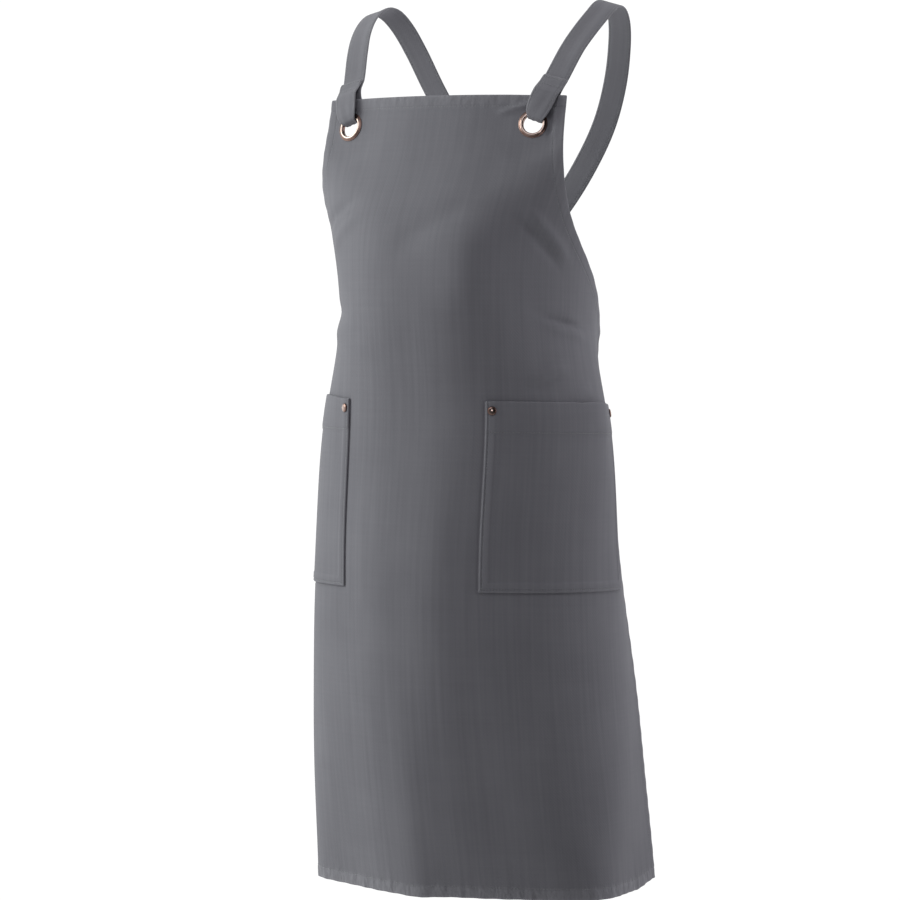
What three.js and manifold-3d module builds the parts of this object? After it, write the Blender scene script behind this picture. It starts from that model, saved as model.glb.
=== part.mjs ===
// A bib apron in the form it takes when worn: one cloth panel, two patch pockets,
// two straps that cross at the back, and the eyelets and rivets that fasten them.
// Millimetres, +Z up. The front faces -Y and +X is the wearer's left.
// The origin lies midway between the places where the two straps rest on the shoulders.
import * as THREE from 'three';
import { mergeVertices } from 'three/addons/utils/BufferGeometryUtils.js';
import Module from 'manifold-3d';

const wasm = await Module();
wasm.setup();

// The flat cut of the panel
const LENGTH = 860;
const HALF_WIDTH = 360;
const BIB_HALF = 140.7;
const ARM_DEPTH = 255;
const ARM_POWER = 2.92;

// Cloth and hems
const CLOTH = 1.2;
const HEM = 2.4;
const TOP_HEM = 13.5;
const FOOT_HEM = 14;
const SIDE_HEM = 12;
const HEM_STEP = 0.4;
const GAP = 0.3;

// How the panel hangs. One row for each level, v below the bib's top edge along the
// centre front. front: Y of the centre front. facet: slant of the cloth beside the soft
// centre ridge. corner: distance along the cloth from the centre to the turn at the side.
// spread: half the length of that turn. side: direction of the cloth past it, in degrees.
const DRAPE = [
  { v: 0, front: -140, facet: 14, corner: 215, spread: 45, side: 92 },
  { v: 80, front: -166, facet: 14.5, corner: 174, spread: 85, side: 97 },
  { v: 165, front: -210, facet: 18, corner: 147, spread: 149, side: 99 },
  { v: 250, front: -214, facet: 20.5, corner: 154, spread: 168, side: 110.5 },
  { v: 335, front: -204, facet: 20.5, corner: 180, spread: 156, side: 119.5 },
  { v: 470, front: -217, facet: 24.5, corner: 196, spread: 153, side: 116 },
  { v: 650, front: -215, facet: 27, corner: 197, spread: 127, side: 104.5 },
  { v: 860, front: -177, facet: 27, corner: 190, spread: 55, side: 96 },
];
const TOP_Z = -99;
const RIDGE = 70;
const SIDE_DROOP = 15;
const DROOP_DEPTH = 330;
const CORNER_DROP = 1.4;
const CORNER_DEPTH = 200;

// Soft folds pressed into the panel, each along a line from (s0, v0) to (s1, v1)
const FOLDS = [
  { s0: 126, v0: 137, s1: 196, v1: 190, width: 15, rise: 1.6 },
  { s0: 146, v0: 252, s1: 275, v1: 250, width: 14, rise: -2 },
  { s0: 139, v0: 310, s1: 170, v1: 298, width: 10, rise: 1.4 },
  { s0: 189, v0: 328, s1: 214, v1: 318, width: 9, rise: 1.2 },
  { s0: 78, v0: 135, s1: 60, v1: 330, width: 38, rise: 3 },
];

// Levels and shares of the half width at which the cloth is divided into flat faces
const LEVELS = [0, TOP_HEM, TOP_HEM + HEM_STEP, 50, 75, 100, 125, 150, 175, 198, 218, 238,
  ARM_DEPTH, 275, 295, 315, 334, 367, 367.5, 400, 433, 466, 499, 531, 570, 609, 648, 688,
  727, 766, 806, LENGTH - FOOT_HEM - HEM_STEP, LENGTH - FOOT_HEM, LENGTH];
const SHARES = [0, 0.055, 0.11, 0.17, 0.2278, 0.29, 0.355, 0.42, 0.485, 0.55, 0.634, 0.715,
  0.8056, 0.85, 0.9];

// Patch pockets, seated on the panel at the sides and foot and a little open at the mouth
const POCKET_TOP = 334;
const POCKET_FOOT = 531;
const POCKET_IN = 82;
const POCKET_OUT = 290;
const POCKET_HEM_FOOT = 367;
const POCKET_CLOTH = 1.5;
const POCKET_HEM = 2.5;
const POCKET_SEAT = 0.35;
const GAPE = 12;
const GAPE_AT = 226;
const GAPE_SPAN = 27;
const GAPE_FROM = 104;
const GAPE_TO = 257;
const GAPE_EDGE = 36;

// Eyelets: a rolled ring on the front, a barrel through the cloth, a washer behind
const EYELET_S = 108.5;
const EYELET_V = 31.5;
const EYELET_BORE = 10;
const EYELET_BARREL = 11;
const EYELET_RADIUS = 15.4;
const EYELET_HEIGHT = 2;
const EYELET_BACK = 14.2;
const FLAT_INNER = 27.5;
const FLAT_OUTER = 46;
const ROUND = 24;

// Rivets at the top corners of the pockets
const RIVET_INSET = 6.5;
const RIVET_DROP = 10;
const RIVET_RADIUS = 4.6;
const RIVET_DOME = 1.9;
const RIVET_POST = 1.5;
const RIVET_PLATE = 4;
const RIVET_PLATE_THICK = 0.8;
const RIVET_SEAT = 0.4;

// The strap's loop, from the sewn tail in front of the bib, down through the eyelet and
// up behind it. up: distance from the eyelet's centre towards the shoulder. out: distance
// in front of the cloth. half: half width. edge and mid: thickness at edge and centre.
// twist: turn about its own line, in degrees.
const LOOP = [
  { up: 57, out: -9.4, half: 13.5, edge: 2.2, mid: 2.2, twist: 8 },
  { up: 50, out: -5.7, half: 13.5, edge: 2.2, mid: 2.2, twist: 7 },
  { up: 43, out: -1, half: 13.5, edge: 2.2, mid: 2.2, twist: 4 },
  { up: 36, out: 3.4, half: 13.5, edge: 2.2, mid: 2.2, twist: 1 },
  { up: 28, out: 4.9, half: 13.5, edge: 2.2, mid: 2.2, twist: 0 },
  { up: 21, out: 5.5, half: 13.2, edge: 2.2, mid: 2.3, twist: 0 },
  { up: 15, out: 5.7, half: 12.4, edge: 2, mid: 2.8, twist: 0 },
  { up: 10.2, out: 5, half: 11.2, edge: 1.6, mid: 3.4, twist: 0 },
  { up: 6.4, out: 3.1, half: 9, edge: 1.2, mid: 4.1, twist: 0 },
  { up: 5, out: -0.4, half: 7.7, edge: 1.2, mid: 4.4, twist: 0 },
  { up: 5.7, out: -4.2, half: 8.4, edge: 1.2, mid: 4.4, twist: 0 },
  { up: 10, out: -7.4, half: 10.4, edge: 1.6, mid: 3.6, twist: 0 },
  { up: 15, out: -8.2, half: 12, edge: 1.9, mid: 3, twist: 0 },
  { up: 21, out: -7.8, half: 13, edge: 2.1, mid: 2.5, twist: 0 },
  { up: 28, out: -6.6, half: 13.5, edge: 2.2, mid: 2.2, twist: 0 },
  { up: 36, out: -5.4, half: 13.5, edge: 2.2, mid: 2.2, twist: 1 },
  { up: 43, out: -5.9, half: 13.5, edge: 2.2, mid: 2.2, twist: 4 },
  { up: 50, out: -8.8, half: 13.5, edge: 2.2, mid: 2.2, twist: 7 },
  { up: 57, out: -12.3, half: 13.5, edge: 2.2, mid: 2.2, twist: 8 },
];

// The strap's run over the wearer's left shoulder and across the back. nx, ny, nz: the
// way its outer face looks. layer: share of the offset that lets the two straps cross.
const RUN = [
  { x: 127, y: -77, z: -50, nx: 0.16, ny: -0.8, nz: 0.57, layer: 0 },
  { x: 133, y: -58, z: -30, nx: 0.24, ny: -0.66, nz: 0.71, layer: 0 },
  { x: 137, y: -36, z: -13, nx: 0.28, ny: -0.42, nz: 0.86, layer: 0 },
  { x: 137.5, y: -17, z: -2.4, nx: 0.28, ny: -0.2, nz: 0.94, layer: 0 },
  { x: 136.5, y: 0, z: 1.1, nx: 0.28, ny: 0, nz: 0.96, layer: 0 },
  { x: 134.5, y: 17, z: -2, nx: 0.26, ny: 0.22, nz: 0.94, layer: 0 },
  { x: 130.5, y: 36, z: -15, nx: 0.22, ny: 0.5, nz: 0.84, layer: 0 },
  { x: 123, y: 54, z: -40, nx: 0.15, ny: 0.74, nz: 0.65, layer: 0 },
  { x: 110, y: 72, z: -80, nx: 0.08, ny: 0.88, nz: 0.46, layer: 0 },
  { x: 90, y: 87, z: -125, nx: 0.05, ny: 0.95, nz: 0.3, layer: 0 },
  { x: 60, y: 98, z: -172, nx: 0.02, ny: 0.98, nz: 0.2, layer: 0.3 },
  { x: 28, y: 104, z: -213, nx: 0, ny: 0.99, nz: 0.12, layer: 1 },
  { x: 0, y: 105.5, z: -244, nx: 0, ny: 1, nz: 0.05, layer: 1 },
  { x: -28, y: 103.5, z: -275, nx: 0, ny: 1, nz: 0, layer: 1 },
  { x: -62, y: 93, z: -313, nx: -0.3, ny: 0.95, nz: 0, layer: 0.3 },
];
const STRAP_HALF = 13.5;
const STRAP_THICK = 2.2;
const CROSS_OFFSET = 1.8;
// Where the far end lies on the inside of the panel's waist corner
const STRAP_END = [
  { s: 349, v: 264 },
  { s: 331, v: 281 },
  { s: 313, v: 298 },
];
const STRAP_INSET = 4.3;
const LOOP_CUTS = 2;
const RUN_CUTS = 2;

// Smooth step from 0 to 1
function smooth(x) {
  const t = THREE.MathUtils.clamp(x, 0, 1);
  return t * t * (3 - 2 * t);
}

// Natural cubic spline through the points (xs, ys)
function spline(xs, ys) {
  const n = xs.length;
  const bend = new Array(n).fill(0);
  const share = new Array(n).fill(0);
  for (let i = 1; i < n - 1; i++) {
    const left = xs[i] - xs[i - 1];
    const right = xs[i + 1] - xs[i];
    const slope = (ys[i + 1] - ys[i]) / right - (ys[i] - ys[i - 1]) / left;
    const pivot = 2 * (left + right) - left * share[i - 1];
    share[i] = right / pivot;
    bend[i] = (6 * slope - left * bend[i - 1]) / pivot;
  }
  for (let i = n - 2; i > 0; i--) bend[i] -= share[i] * bend[i + 1];
  return (x) => {
    let i = 0;
    while (i < n - 2 && x > xs[i + 1]) i++;
    const h = xs[i + 1] - xs[i];
    const a = (xs[i + 1] - x) / h;
    const b = 1 - a;
    const curve = (a * a * a - a) * bend[i] + (b * b * b - b) * bend[i + 1];
    return a * ys[i] + b * ys[i + 1] + (curve * h * h) / 6;
  };
}

const levels = DRAPE.map((row) => row.v);
const column = (name) => spline(levels, DRAPE.map((row) => row[name]));
const front = column('front');
const facet = column('facet');
const corner = column('corner');
const spread = column('spread');
const side = column('side');

// Height of the centre front: the cloth keeps its length as it leans in and out
const STEP = 2;
const centreZ = [TOP_Z];
for (let v = 0; v < LENGTH + 4; v += STEP) {
  const lean = (front(v + STEP) - front(v)) / STEP;
  centreZ.push(centreZ.at(-1) - STEP * Math.sqrt(1 - lean * lean));
}

function between(list, place) {
  const i = THREE.MathUtils.clamp(Math.floor(place), 0, list.length - 2);
  return list[i] + (list[i + 1] - list[i]) * (place - i);
}

function halfWidth(v) {
  const t = THREE.MathUtils.clamp(v / ARM_DEPTH, 0, 1);
  return BIB_HALF + (HALF_WIDTH - BIB_HALF) * t ** ARM_POWER;
}

// One level of the hanging cloth, walked from the centre front to the side
const sections = new Map();
function section(v) {
  if (sections.has(v)) return sections.get(v);
  const x = [0];
  const y = [front(v)];
  for (let s = STEP / 2; s < HALF_WIDTH + 12; s += STEP) {
    const turn = smooth((s - corner(v) + spread(v)) / (2 * spread(v)));
    const angle = facet(v) * smooth(s / RIDGE) + (side(v) - facet(v)) * turn;
    const heading = THREE.MathUtils.degToRad(angle);
    x.push(x.at(-1) + STEP * Math.cos(heading));
    y.push(y.at(-1) + STEP * Math.sin(heading));
  }
  const made = { x, y, z: between(centreZ, v / STEP) };
  sections.set(v, made);
  return made;
}

// The wearer's left half of the hanging cloth, before the eyelets flatten it
function hang(s, v) {
  const row = section(v);
  const droop = SIDE_DROOP * (s / HALF_WIDTH) ** 2 * smooth(v / DROOP_DEPTH);
  const drop = CORNER_DROP * (s / BIB_HALF) ** 2 * (1 - smooth(v / CORNER_DEPTH));
  const place = s / STEP;
  return new THREE.Vector3(between(row.x, place), between(row.y, place), row.z - droop - drop);
}

function facing(place, s, v) {
  const across = place(s + 1.5, v).sub(place(s - 1.5, v));
  const down = place(s, v + 1.5).sub(place(s, v - 1.5));
  return down.cross(across).normalize();
}

const eyeletCentre = hang(EYELET_S, EYELET_V);
const eyeletNormal = facing(hang, EYELET_S, EYELET_V);

// Height of the folds at a place on the cloth
function foldRise(s, v) {
  let rise = 0;
  for (const fold of FOLDS) {
    const ds = fold.s1 - fold.s0;
    const dv = fold.v1 - fold.v0;
    const length = Math.hypot(ds, dv);
    const along = ((s - fold.s0) * ds + (v - fold.v0) * dv) / length;
    const aside = ((s - fold.s0) * dv - (v - fold.v0) * ds) / length;
    const ends = smooth(along / (length * 0.35)) * smooth((length - along) / (length * 0.35));
    rise += fold.rise * ends * Math.exp(-((aside / fold.width) ** 2));
  }
  return rise;
}

// A point of the panel's outer face, s across from the centre front and v down
function surface(s, v) {
  const a = Math.abs(s);
  const point = hang(a, v);
  const away = Math.hypot(a - EYELET_S, v - EYELET_V);
  const flat = 1 - smooth((away - FLAT_INNER) / (FLAT_OUTER - FLAT_INNER));
  const lift = point.clone().sub(eyeletCentre).dot(eyeletNormal);
  point.addScaledVector(eyeletNormal, -flat * lift);
  const rise = foldRise(s, v);
  if (rise !== 0) point.addScaledVector(facing(hang, a, v), rise);
  if (s < 0) point.x *= -1;
  return point;
}

const outward = (s, v) => facing(surface, s, v);
const offset = (s, v, out) => surface(s, v).addScaledVector(outward(s, v), out);

// A closed sheet between an outer and an inner grid of points. The cells before the
// column "mirrored" are split along the other diagonal, so that both halves match.
function sheet(outer, inner, mirrored) {
  const rows = outer.length;
  const cols = outer[0].length;
  const points = [...outer.flat(), ...inner.flat()];
  const back = rows * cols;
  const index = [];
  for (let i = 0; i < rows - 1; i++) {
    for (let j = 0; j < cols - 1; j++) {
      const a = i * cols + j;
      const b = a + cols;
      const c = a + 1;
      const d = b + 1;
      const faces = j < mirrored ? [a, b, d, a, d, c] : [a, b, c, c, b, d];
      index.push(...faces);
      index.push(...faces.reverse().map((k) => back + k));
    }
  }
  const rim = [];
  for (let i = 0; i < rows - 1; i++) rim.push(i * cols);
  for (let j = 0; j < cols - 1; j++) rim.push((rows - 1) * cols + j);
  for (let i = rows - 1; i > 0; i--) rim.push(i * cols + cols - 1);
  for (let j = cols - 1; j > 0; j--) rim.push(j);
  rim.forEach((a, k) => {
    const b = rim[(k + 1) % rim.length];
    index.push(a, back + a, b, b, back + a, back + b);
  });
  const geometry = new THREE.BufferGeometry().setFromPoints(points);
  geometry.setIndex(index);
  return geometry;
}

function solid(geometry) {
  const bare = geometry.clone();
  bare.deleteAttribute('normal');
  bare.deleteAttribute('uv');
  const merged = mergeVertices(bare, 1e-4);
  const mesh = new wasm.Mesh({
    numProp: 3,
    vertProperties: merged.getAttribute('position').array,
    triVerts: new Uint32Array(merged.index.array),
  });
  return new wasm.Manifold(mesh);
}

function cut(geometry, holes) {
  let body = solid(geometry);
  for (const hole of holes) body = body.subtract(solid(hole));
  const mesh = body.getMesh();
  const made = new THREE.BufferGeometry();
  made.setAttribute('position', new THREE.BufferAttribute(mesh.vertProperties, 3));
  made.setIndex(new THREE.BufferAttribute(mesh.triVerts, 1));
  return made;
}

// Turns a shape made about Y so that Y looks along the cloth's normal
function stand(normal) {
  return new THREE.Quaternion().setFromUnitVectors(new THREE.Vector3(0, 1, 0), normal);
}

function drill(centre, normal, radius, depth, sides) {
  const hole = new THREE.CylinderGeometry(radius, radius, depth, sides);
  hole.applyQuaternion(stand(normal));
  return hole.translate(centre.x, centre.y, centre.z);
}

const mirrorX = (vector) => new THREE.Vector3(-vector.x, vector.y, vector.z);
const eyeletAt = (hand) => (hand > 0 ? eyeletCentre.clone() : mirrorX(eyeletCentre));
const eyeletFace = (hand) => (hand > 0 ? eyeletNormal.clone() : mirrorX(eyeletNormal));

const RIVETS = [
  { name: 'rivet_left_inner', hand: 1, s: POCKET_IN + RIVET_INSET },
  { name: 'rivet_left_outer', hand: 1, s: POCKET_OUT - RIVET_INSET },
  { name: 'rivet_right_inner', hand: -1, s: -POCKET_IN - RIVET_INSET },
  { name: 'rivet_right_outer', hand: -1, s: -POCKET_OUT + RIVET_INSET },
];
const RIVET_V = POCKET_TOP + RIVET_DROP;

// The middle of the flat cloth face between four neighbouring grid points
function gridCell(s, v) {
  const a = Math.abs(s) / HALF_WIDTH;
  const j = SHARES.findIndex((share) => share > a);
  const i = LEVELS.findIndex((level) => level > v);
  const inner = SHARES[j - 1] * HALF_WIDTH * Math.sign(s);
  const outer = SHARES[j] * HALF_WIDTH * Math.sign(s);
  return { s: [inner, outer], v: [LEVELS[i - 1], LEVELS[i]] };
}

// A rivet's axis: through the faceted panel, square to the face it passes through
function rivetFrame(rivet) {
  const cell = gridCell(rivet.s, RIVET_V);
  const across = (rivet.s - cell.s[0]) / (cell.s[1] - cell.s[0]);
  const down = (RIVET_V - cell.v[0]) / (cell.v[1] - cell.v[0]);
  const corners = cell.v.map((v) => cell.s.map((s) => surface(s, v)));
  const top = corners[0][0].clone().lerp(corners[0][1], across);
  const foot = corners[1][0].clone().lerp(corners[1][1], across);
  const wide = corners[0][1].clone().sub(corners[0][0]).multiplyScalar(rivet.hand);
  const normal = foot.clone().sub(top).cross(wide).normalize();
  return { centre: top.lerp(foot, down), normal };
}

// Panel
function acrossAt(v) {
  const half = halfWidth(v);
  const right = SHARES.map((share) => share * half);
  right.push(half - SIDE_HEM - HEM_STEP, half - SIDE_HEM, half);
  const left = right.slice(1).reverse().map((s) => -s);
  return [...left, ...right];
}

function panelThickness(s, v) {
  const onTop = v < TOP_HEM + HEM_STEP / 2;
  const onFoot = v > LENGTH - FOOT_HEM - HEM_STEP / 2;
  const onSide = Math.abs(s) > halfWidth(v) - SIDE_HEM - HEM_STEP / 2;
  return onTop || onFoot || onSide ? HEM : CLOTH;
}

const panelOuter = LEVELS.map((v) => acrossAt(v).map((s) => surface(s, v)));
const panelInner = LEVELS.map((v) => acrossAt(v).map((s) => offset(s, v, -panelThickness(s, v))));
const rivetFrames = RIVETS.map(rivetFrame);
const eyeletHole = (hand) =>
  drill(eyeletAt(hand), eyeletFace(hand), EYELET_BARREL + GAP, 12, ROUND);
const rivetHole = (frame) => drill(frame.centre, frame.normal, RIVET_POST + GAP, 30, 12);
const panelGeometry = cut(sheet(panelOuter, panelInner, (panelOuter[0].length - 1) / 2), [
  eyeletHole(1),
  eyeletHole(-1),
  ...rivetFrames.map(rivetHole),
]);

// Pockets
function pocketGap(s, v) {
  const a = Math.abs(s);
  const depth = (v - POCKET_TOP) / (POCKET_FOOT - POCKET_TOP);
  const bulge = Math.exp(-(((a - GAPE_AT) / GAPE_SPAN) ** 2));
  const held = smooth((GAPE_TO - a) / GAPE_EDGE) * smooth((a - GAPE_FROM) / GAPE_EDGE);
  return POCKET_SEAT + GAPE * bulge * held * (1 - depth) ** 1.2;
}

function pocketThickness(v) {
  return v < POCKET_HEM_FOOT + 0.2 ? POCKET_HEM : POCKET_CLOTH;
}

function pocketGeometry(hand) {
  const across = SHARES.map((share) => share * HALF_WIDTH).filter(
    (s) => s > POCKET_IN - 1 && s < POCKET_OUT + 1,
  );
  const columns = hand > 0 ? across : across.map((s) => -s).reverse();
  const rows = LEVELS.filter((v) => v >= POCKET_TOP && v <= POCKET_FOOT);
  const inner = rows.map((v) => columns.map((s) => offset(s, v, pocketGap(s, v))));
  const outer = rows.map((v) =>
    columns.map((s) => offset(s, v, pocketGap(s, v) + pocketThickness(v))),
  );
  const holes = rivetFrames.filter((_, i) => RIVETS[i].hand === hand).map(rivetHole);
  return cut(sheet(outer, inner, hand > 0 ? 0 : columns.length), holes);
}

// Straps: sections of ten points swept along the loop and the run
function strapStations(hand) {
  const towards = new THREE.Vector3(RUN[0].x, RUN[0].y, RUN[0].z).sub(eyeletCentre);
  const lift = towards.dot(eyeletNormal);
  const up = towards.addScaledVector(eyeletNormal, -lift).normalize();
  const level = up.clone().cross(eyeletNormal).normalize();
  const turned = (angle) => level.clone().applyAxisAngle(up, -THREE.MathUtils.degToRad(angle));
  const rows = LOOP.map((row) => ({
    ...row,
    wide: turned(row.twist),
    cuts: LOOP_CUTS,
    point: eyeletCentre.clone().addScaledVector(up, row.up).addScaledVector(eyeletNormal, row.out),
  }));
  const plain = { half: STRAP_HALF, edge: STRAP_THICK, mid: STRAP_THICK, cuts: RUN_CUTS };
  for (const row of RUN) {
    const normal = new THREE.Vector3(row.nx, row.ny, row.nz).normalize();
    const point = new THREE.Vector3(row.x, row.y, row.z);
    point.addScaledVector(normal, hand * CROSS_OFFSET * row.layer);
    rows.push({ ...plain, normal, point });
  }
  for (const row of STRAP_END) {
    const normal = outward(-row.s, row.v);
    rows.push({ ...plain, normal, point: offset(-row.s, row.v, -STRAP_INSET) });
  }
  return rows;
}

function strapGeometry(hand) {
  const rows = strapStations(hand);
  const path = new THREE.CatmullRomCurve3(rows.map((row) => row.point), false, 'centripetal');
  const last = rows.length - 1;
  rows.forEach((row, i) => {
    if (row.normal) row.wide = path.getTangent(i / last).cross(row.normal).normalize();
  });
  const points = [];
  const spans = [-1, -0.5, 0, 0.5, 1];
  for (let i = 0; i <= last; i++) {
    const cuts = i === last ? 1 : rows[i].cuts;
    for (let k = 0; k < cuts; k++) {
      const from = rows[i];
      const to = rows[Math.min(i + 1, last)];
      const t = k / cuts;
      const place = (i + t) / last;
      const middle = path.getPoint(place);
      const along = path.getTangent(place);
      const wide = from.wide.clone().lerp(to.wide, t);
      wide.addScaledVector(along, -wide.dot(along)).normalize();
      const inside = wide.clone().cross(along);
      const half = THREE.MathUtils.lerp(from.half, to.half, t);
      const edge = THREE.MathUtils.lerp(from.edge, to.edge, t);
      const mid = THREE.MathUtils.lerp(from.mid, to.mid, t);
      const spot = (u, deep) =>
        middle.clone().addScaledVector(wide, u * half).addScaledVector(inside, deep);
      for (const u of spans) points.push(spot(u, -STRAP_THICK / 2));
      for (const u of [...spans].reverse()) {
        points.push(spot(u, -STRAP_THICK / 2 + edge + (mid - edge) * (1 - u * u)));
      }
    }
  }
  const ring = 10;
  const count = points.length / ring;
  const index = [];
  for (let i = 0; i < count - 1; i++) {
    for (let j = 0; j < ring; j++) {
      const a = i * ring + j;
      const b = i * ring + ((j + 1) % ring);
      index.push(a, a + ring, b, b, a + ring, b + ring);
    }
  }
  const end = (count - 1) * ring;
  for (let j = 0; j < 4; j++) {
    index.push(j, j + 1, 9 - j, j + 1, 8 - j, 9 - j);
    index.push(end + j, end + 9 - j, end + j + 1, end + j + 1, end + 9 - j, end + 8 - j);
  }
  if (hand < 0) {
    points.forEach((point) => point.setX(-point.x));
    for (let i = 0; i < index.length; i += 3) {
      [index[i + 1], index[i + 2]] = [index[i + 2], index[i + 1]];
    }
  }
  const geometry = new THREE.BufferGeometry().setFromPoints(points);
  geometry.setIndex(index);
  return geometry;
}

// Eyelet: a closed profile about its own axis, heights counted from the cloth's face
function eyeletGeometry() {
  const seat = GAP;
  const rollMid = (EYELET_BORE + EYELET_RADIUS) / 2;
  const rollHalf = (EYELET_RADIUS - EYELET_BORE) / 2;
  const washer = -CLOTH - GAP;
  const profile = [];
  for (let k = 0; k <= 6; k++) {
    const angle = Math.PI * (k / 6);
    const r = rollMid + rollHalf * Math.cos(angle);
    profile.push(new THREE.Vector2(r, seat + 0.1 + (EYELET_HEIGHT - 0.1) * Math.sin(angle)));
  }
  profile.push(new THREE.Vector2(EYELET_BORE, washer - 0.5));
  profile.push(new THREE.Vector2(EYELET_BORE + 0.5, washer - 1));
  profile.push(new THREE.Vector2(EYELET_BACK - 0.4, washer - 0.8));
  profile.push(new THREE.Vector2(EYELET_BACK, washer - 0.3));
  profile.push(new THREE.Vector2(EYELET_BACK - 0.3, washer));
  profile.push(new THREE.Vector2(EYELET_BARREL, washer));
  profile.push(new THREE.Vector2(EYELET_BARREL, seat));
  profile.push(new THREE.Vector2(EYELET_RADIUS - 0.3, seat));
  profile.push(profile[0].clone());
  return new THREE.LatheGeometry(profile, ROUND);
}

// Rivet: plate behind the panel, post through both cloths, domed cap on the pocket's hem
function rivetGeometry(stack) {
  const plateFace = -CLOTH - RIVET_SEAT;
  const capFace = stack + RIVET_SEAT;
  const profile = [
    [0, plateFace - RIVET_PLATE_THICK],
    [RIVET_PLATE - 0.3, plateFace - RIVET_PLATE_THICK],
    [RIVET_PLATE, plateFace - RIVET_PLATE_THICK / 2],
    [RIVET_PLATE - 0.2, plateFace],
    [RIVET_POST, plateFace],
    [RIVET_POST, capFace],
    [RIVET_RADIUS - 0.2, capFace],
    [RIVET_RADIUS, capFace + 0.5],
    [RIVET_RADIUS * 0.82, capFace + RIVET_DOME * 0.72],
    [RIVET_RADIUS * 0.45, capFace + RIVET_DOME * 0.96],
    [0, capFace + RIVET_DOME],
  ];
  return new THREE.LatheGeometry(profile.map(([r, h]) => new THREE.Vector2(r, h)), 12);
}

// How far the pocket's outer face stands off the panel's at a rivet
function rivetStack(rivet) {
  const cell = gridCell(rivet.s, RIVET_V);
  const across = (rivet.s - cell.s[0]) / (cell.s[1] - cell.s[0]);
  const down = (RIVET_V - cell.v[0]) / (cell.v[1] - cell.v[0]);
  const edge = (v) =>
    THREE.MathUtils.lerp(pocketGap(cell.s[0], v), pocketGap(cell.s[1], v), across);
  return THREE.MathUtils.lerp(edge(cell.v[0]), edge(cell.v[1]), down) + POCKET_HEM;
}

const clothLook = () =>
  new THREE.MeshStandardMaterial({ color: 0x64656a, roughness: 0.92, metalness: 0 });
const strapLook = () =>
  new THREE.MeshStandardMaterial({ color: 0x66676c, roughness: 0.9, metalness: 0 });
const copperLook = () =>
  new THREE.MeshStandardMaterial({ color: 0x8c5a45, roughness: 0.38, metalness: 1 });

function piece(name, geometry, material) {
  const mesh = new THREE.Mesh(geometry, material);
  mesh.name = name;
  return mesh;
}

const apron = new THREE.Group();
apron.name = 'apron';
apron.add(piece('panel', panelGeometry, clothLook()));
for (const [hand, word] of [[1, 'left'], [-1, 'right']]) {
  apron.add(piece(`pocket_${word}`, pocketGeometry(hand), clothLook()));
  apron.add(piece(`strap_${word}`, strapGeometry(hand), strapLook()));
  const eyelet = piece(`eyelet_${word}`, eyeletGeometry(), copperLook());
  eyelet.position.copy(eyeletAt(hand));
  eyelet.quaternion.copy(stand(eyeletFace(hand)));
  apron.add(eyelet);
}
RIVETS.forEach((rivet, i) => {
  const mesh = piece(rivet.name, rivetGeometry(rivetStack(rivet)), copperLook());
  mesh.position.copy(rivetFrames[i].centre);
  mesh.quaternion.copy(stand(rivetFrames[i].normal));
  apron.add(mesh);
});

export default apron;
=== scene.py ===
# %% [markdown]
# # A bib apron in the form it takes when worn
#
# The apron is one cut of charcoal cotton canvas with a bib, two deep armholes and a wide
# skirt. Two patch pockets are sewn and riveted to it. Two straps loop through eyelets at
# the bib's top corners, run over the shoulders, cross at the back and end inside the
# opposite waist corners.
#
# This lesson makes each of those pieces at the places where the solid model has them.
# Lengths are in millimetres until a mesh is made, because that is how a sewing pattern
# is written.

# %% Load the shared frame
import math

import bmesh
import bpy
import numpy as np
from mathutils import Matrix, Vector


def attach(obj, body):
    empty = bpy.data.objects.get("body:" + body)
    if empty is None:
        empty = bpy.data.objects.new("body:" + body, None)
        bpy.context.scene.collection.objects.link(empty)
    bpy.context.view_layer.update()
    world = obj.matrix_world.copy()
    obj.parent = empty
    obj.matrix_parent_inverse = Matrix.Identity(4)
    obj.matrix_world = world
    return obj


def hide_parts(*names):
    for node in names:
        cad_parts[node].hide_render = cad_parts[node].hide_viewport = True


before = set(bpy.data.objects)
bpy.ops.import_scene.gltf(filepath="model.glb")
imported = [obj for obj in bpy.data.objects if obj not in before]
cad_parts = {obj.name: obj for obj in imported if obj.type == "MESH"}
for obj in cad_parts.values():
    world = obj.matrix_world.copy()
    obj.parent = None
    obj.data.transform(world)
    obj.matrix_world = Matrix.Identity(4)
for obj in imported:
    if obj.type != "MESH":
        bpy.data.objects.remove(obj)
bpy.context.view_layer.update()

MM = 0.001

# %% [markdown]
# ## The viewpoint
# The photograph was taken from the wearer's left front, at the height of the chest, with a
# long lens. A long lens keeps the skirt from looking larger than the bib. The turn and the
# tilt were found by laying the apron's outline over the photograph.

# %% Camera
CAMERA_TURN = 26.5
CAMERA_TILT = 3.2
CAMERA_PLACE = (1.6003, -3.3182, -0.2707)
SENSOR_WIDTH = 36
FOCAL_LENGTH = 135.85

camera = bpy.data.objects.new("camera", bpy.data.cameras.new("camera"))
camera.data.sensor_width = SENSOR_WIDTH
camera.data.lens = FOCAL_LENGTH
camera.location = CAMERA_PLACE
camera.rotation_euler = (math.radians(90 - CAMERA_TILT), 0, math.radians(CAMERA_TURN))
bpy.context.collection.objects.link(camera)
bpy.context.scene.camera = camera
print("camera distance, m:", round(camera.location.length, 2))

# %% [markdown]
# ## How the panel hangs
# Canvas bends but hardly stretches. So every level of the panel is drawn as a walk along
# the cloth: from the centre front, over a soft ridge, along a nearly flat facet, round the
# wearer's side and back towards the spine. The table says how that walk turns at each
# level. The cloth's own length is kept, both across and down.

# %% The flat cut and the table of the drape
LENGTH = 860
HALF_WIDTH = 360
BIB_HALF = 140.7
ARM_DEPTH = 255
ARM_POWER = 2.92

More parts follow.
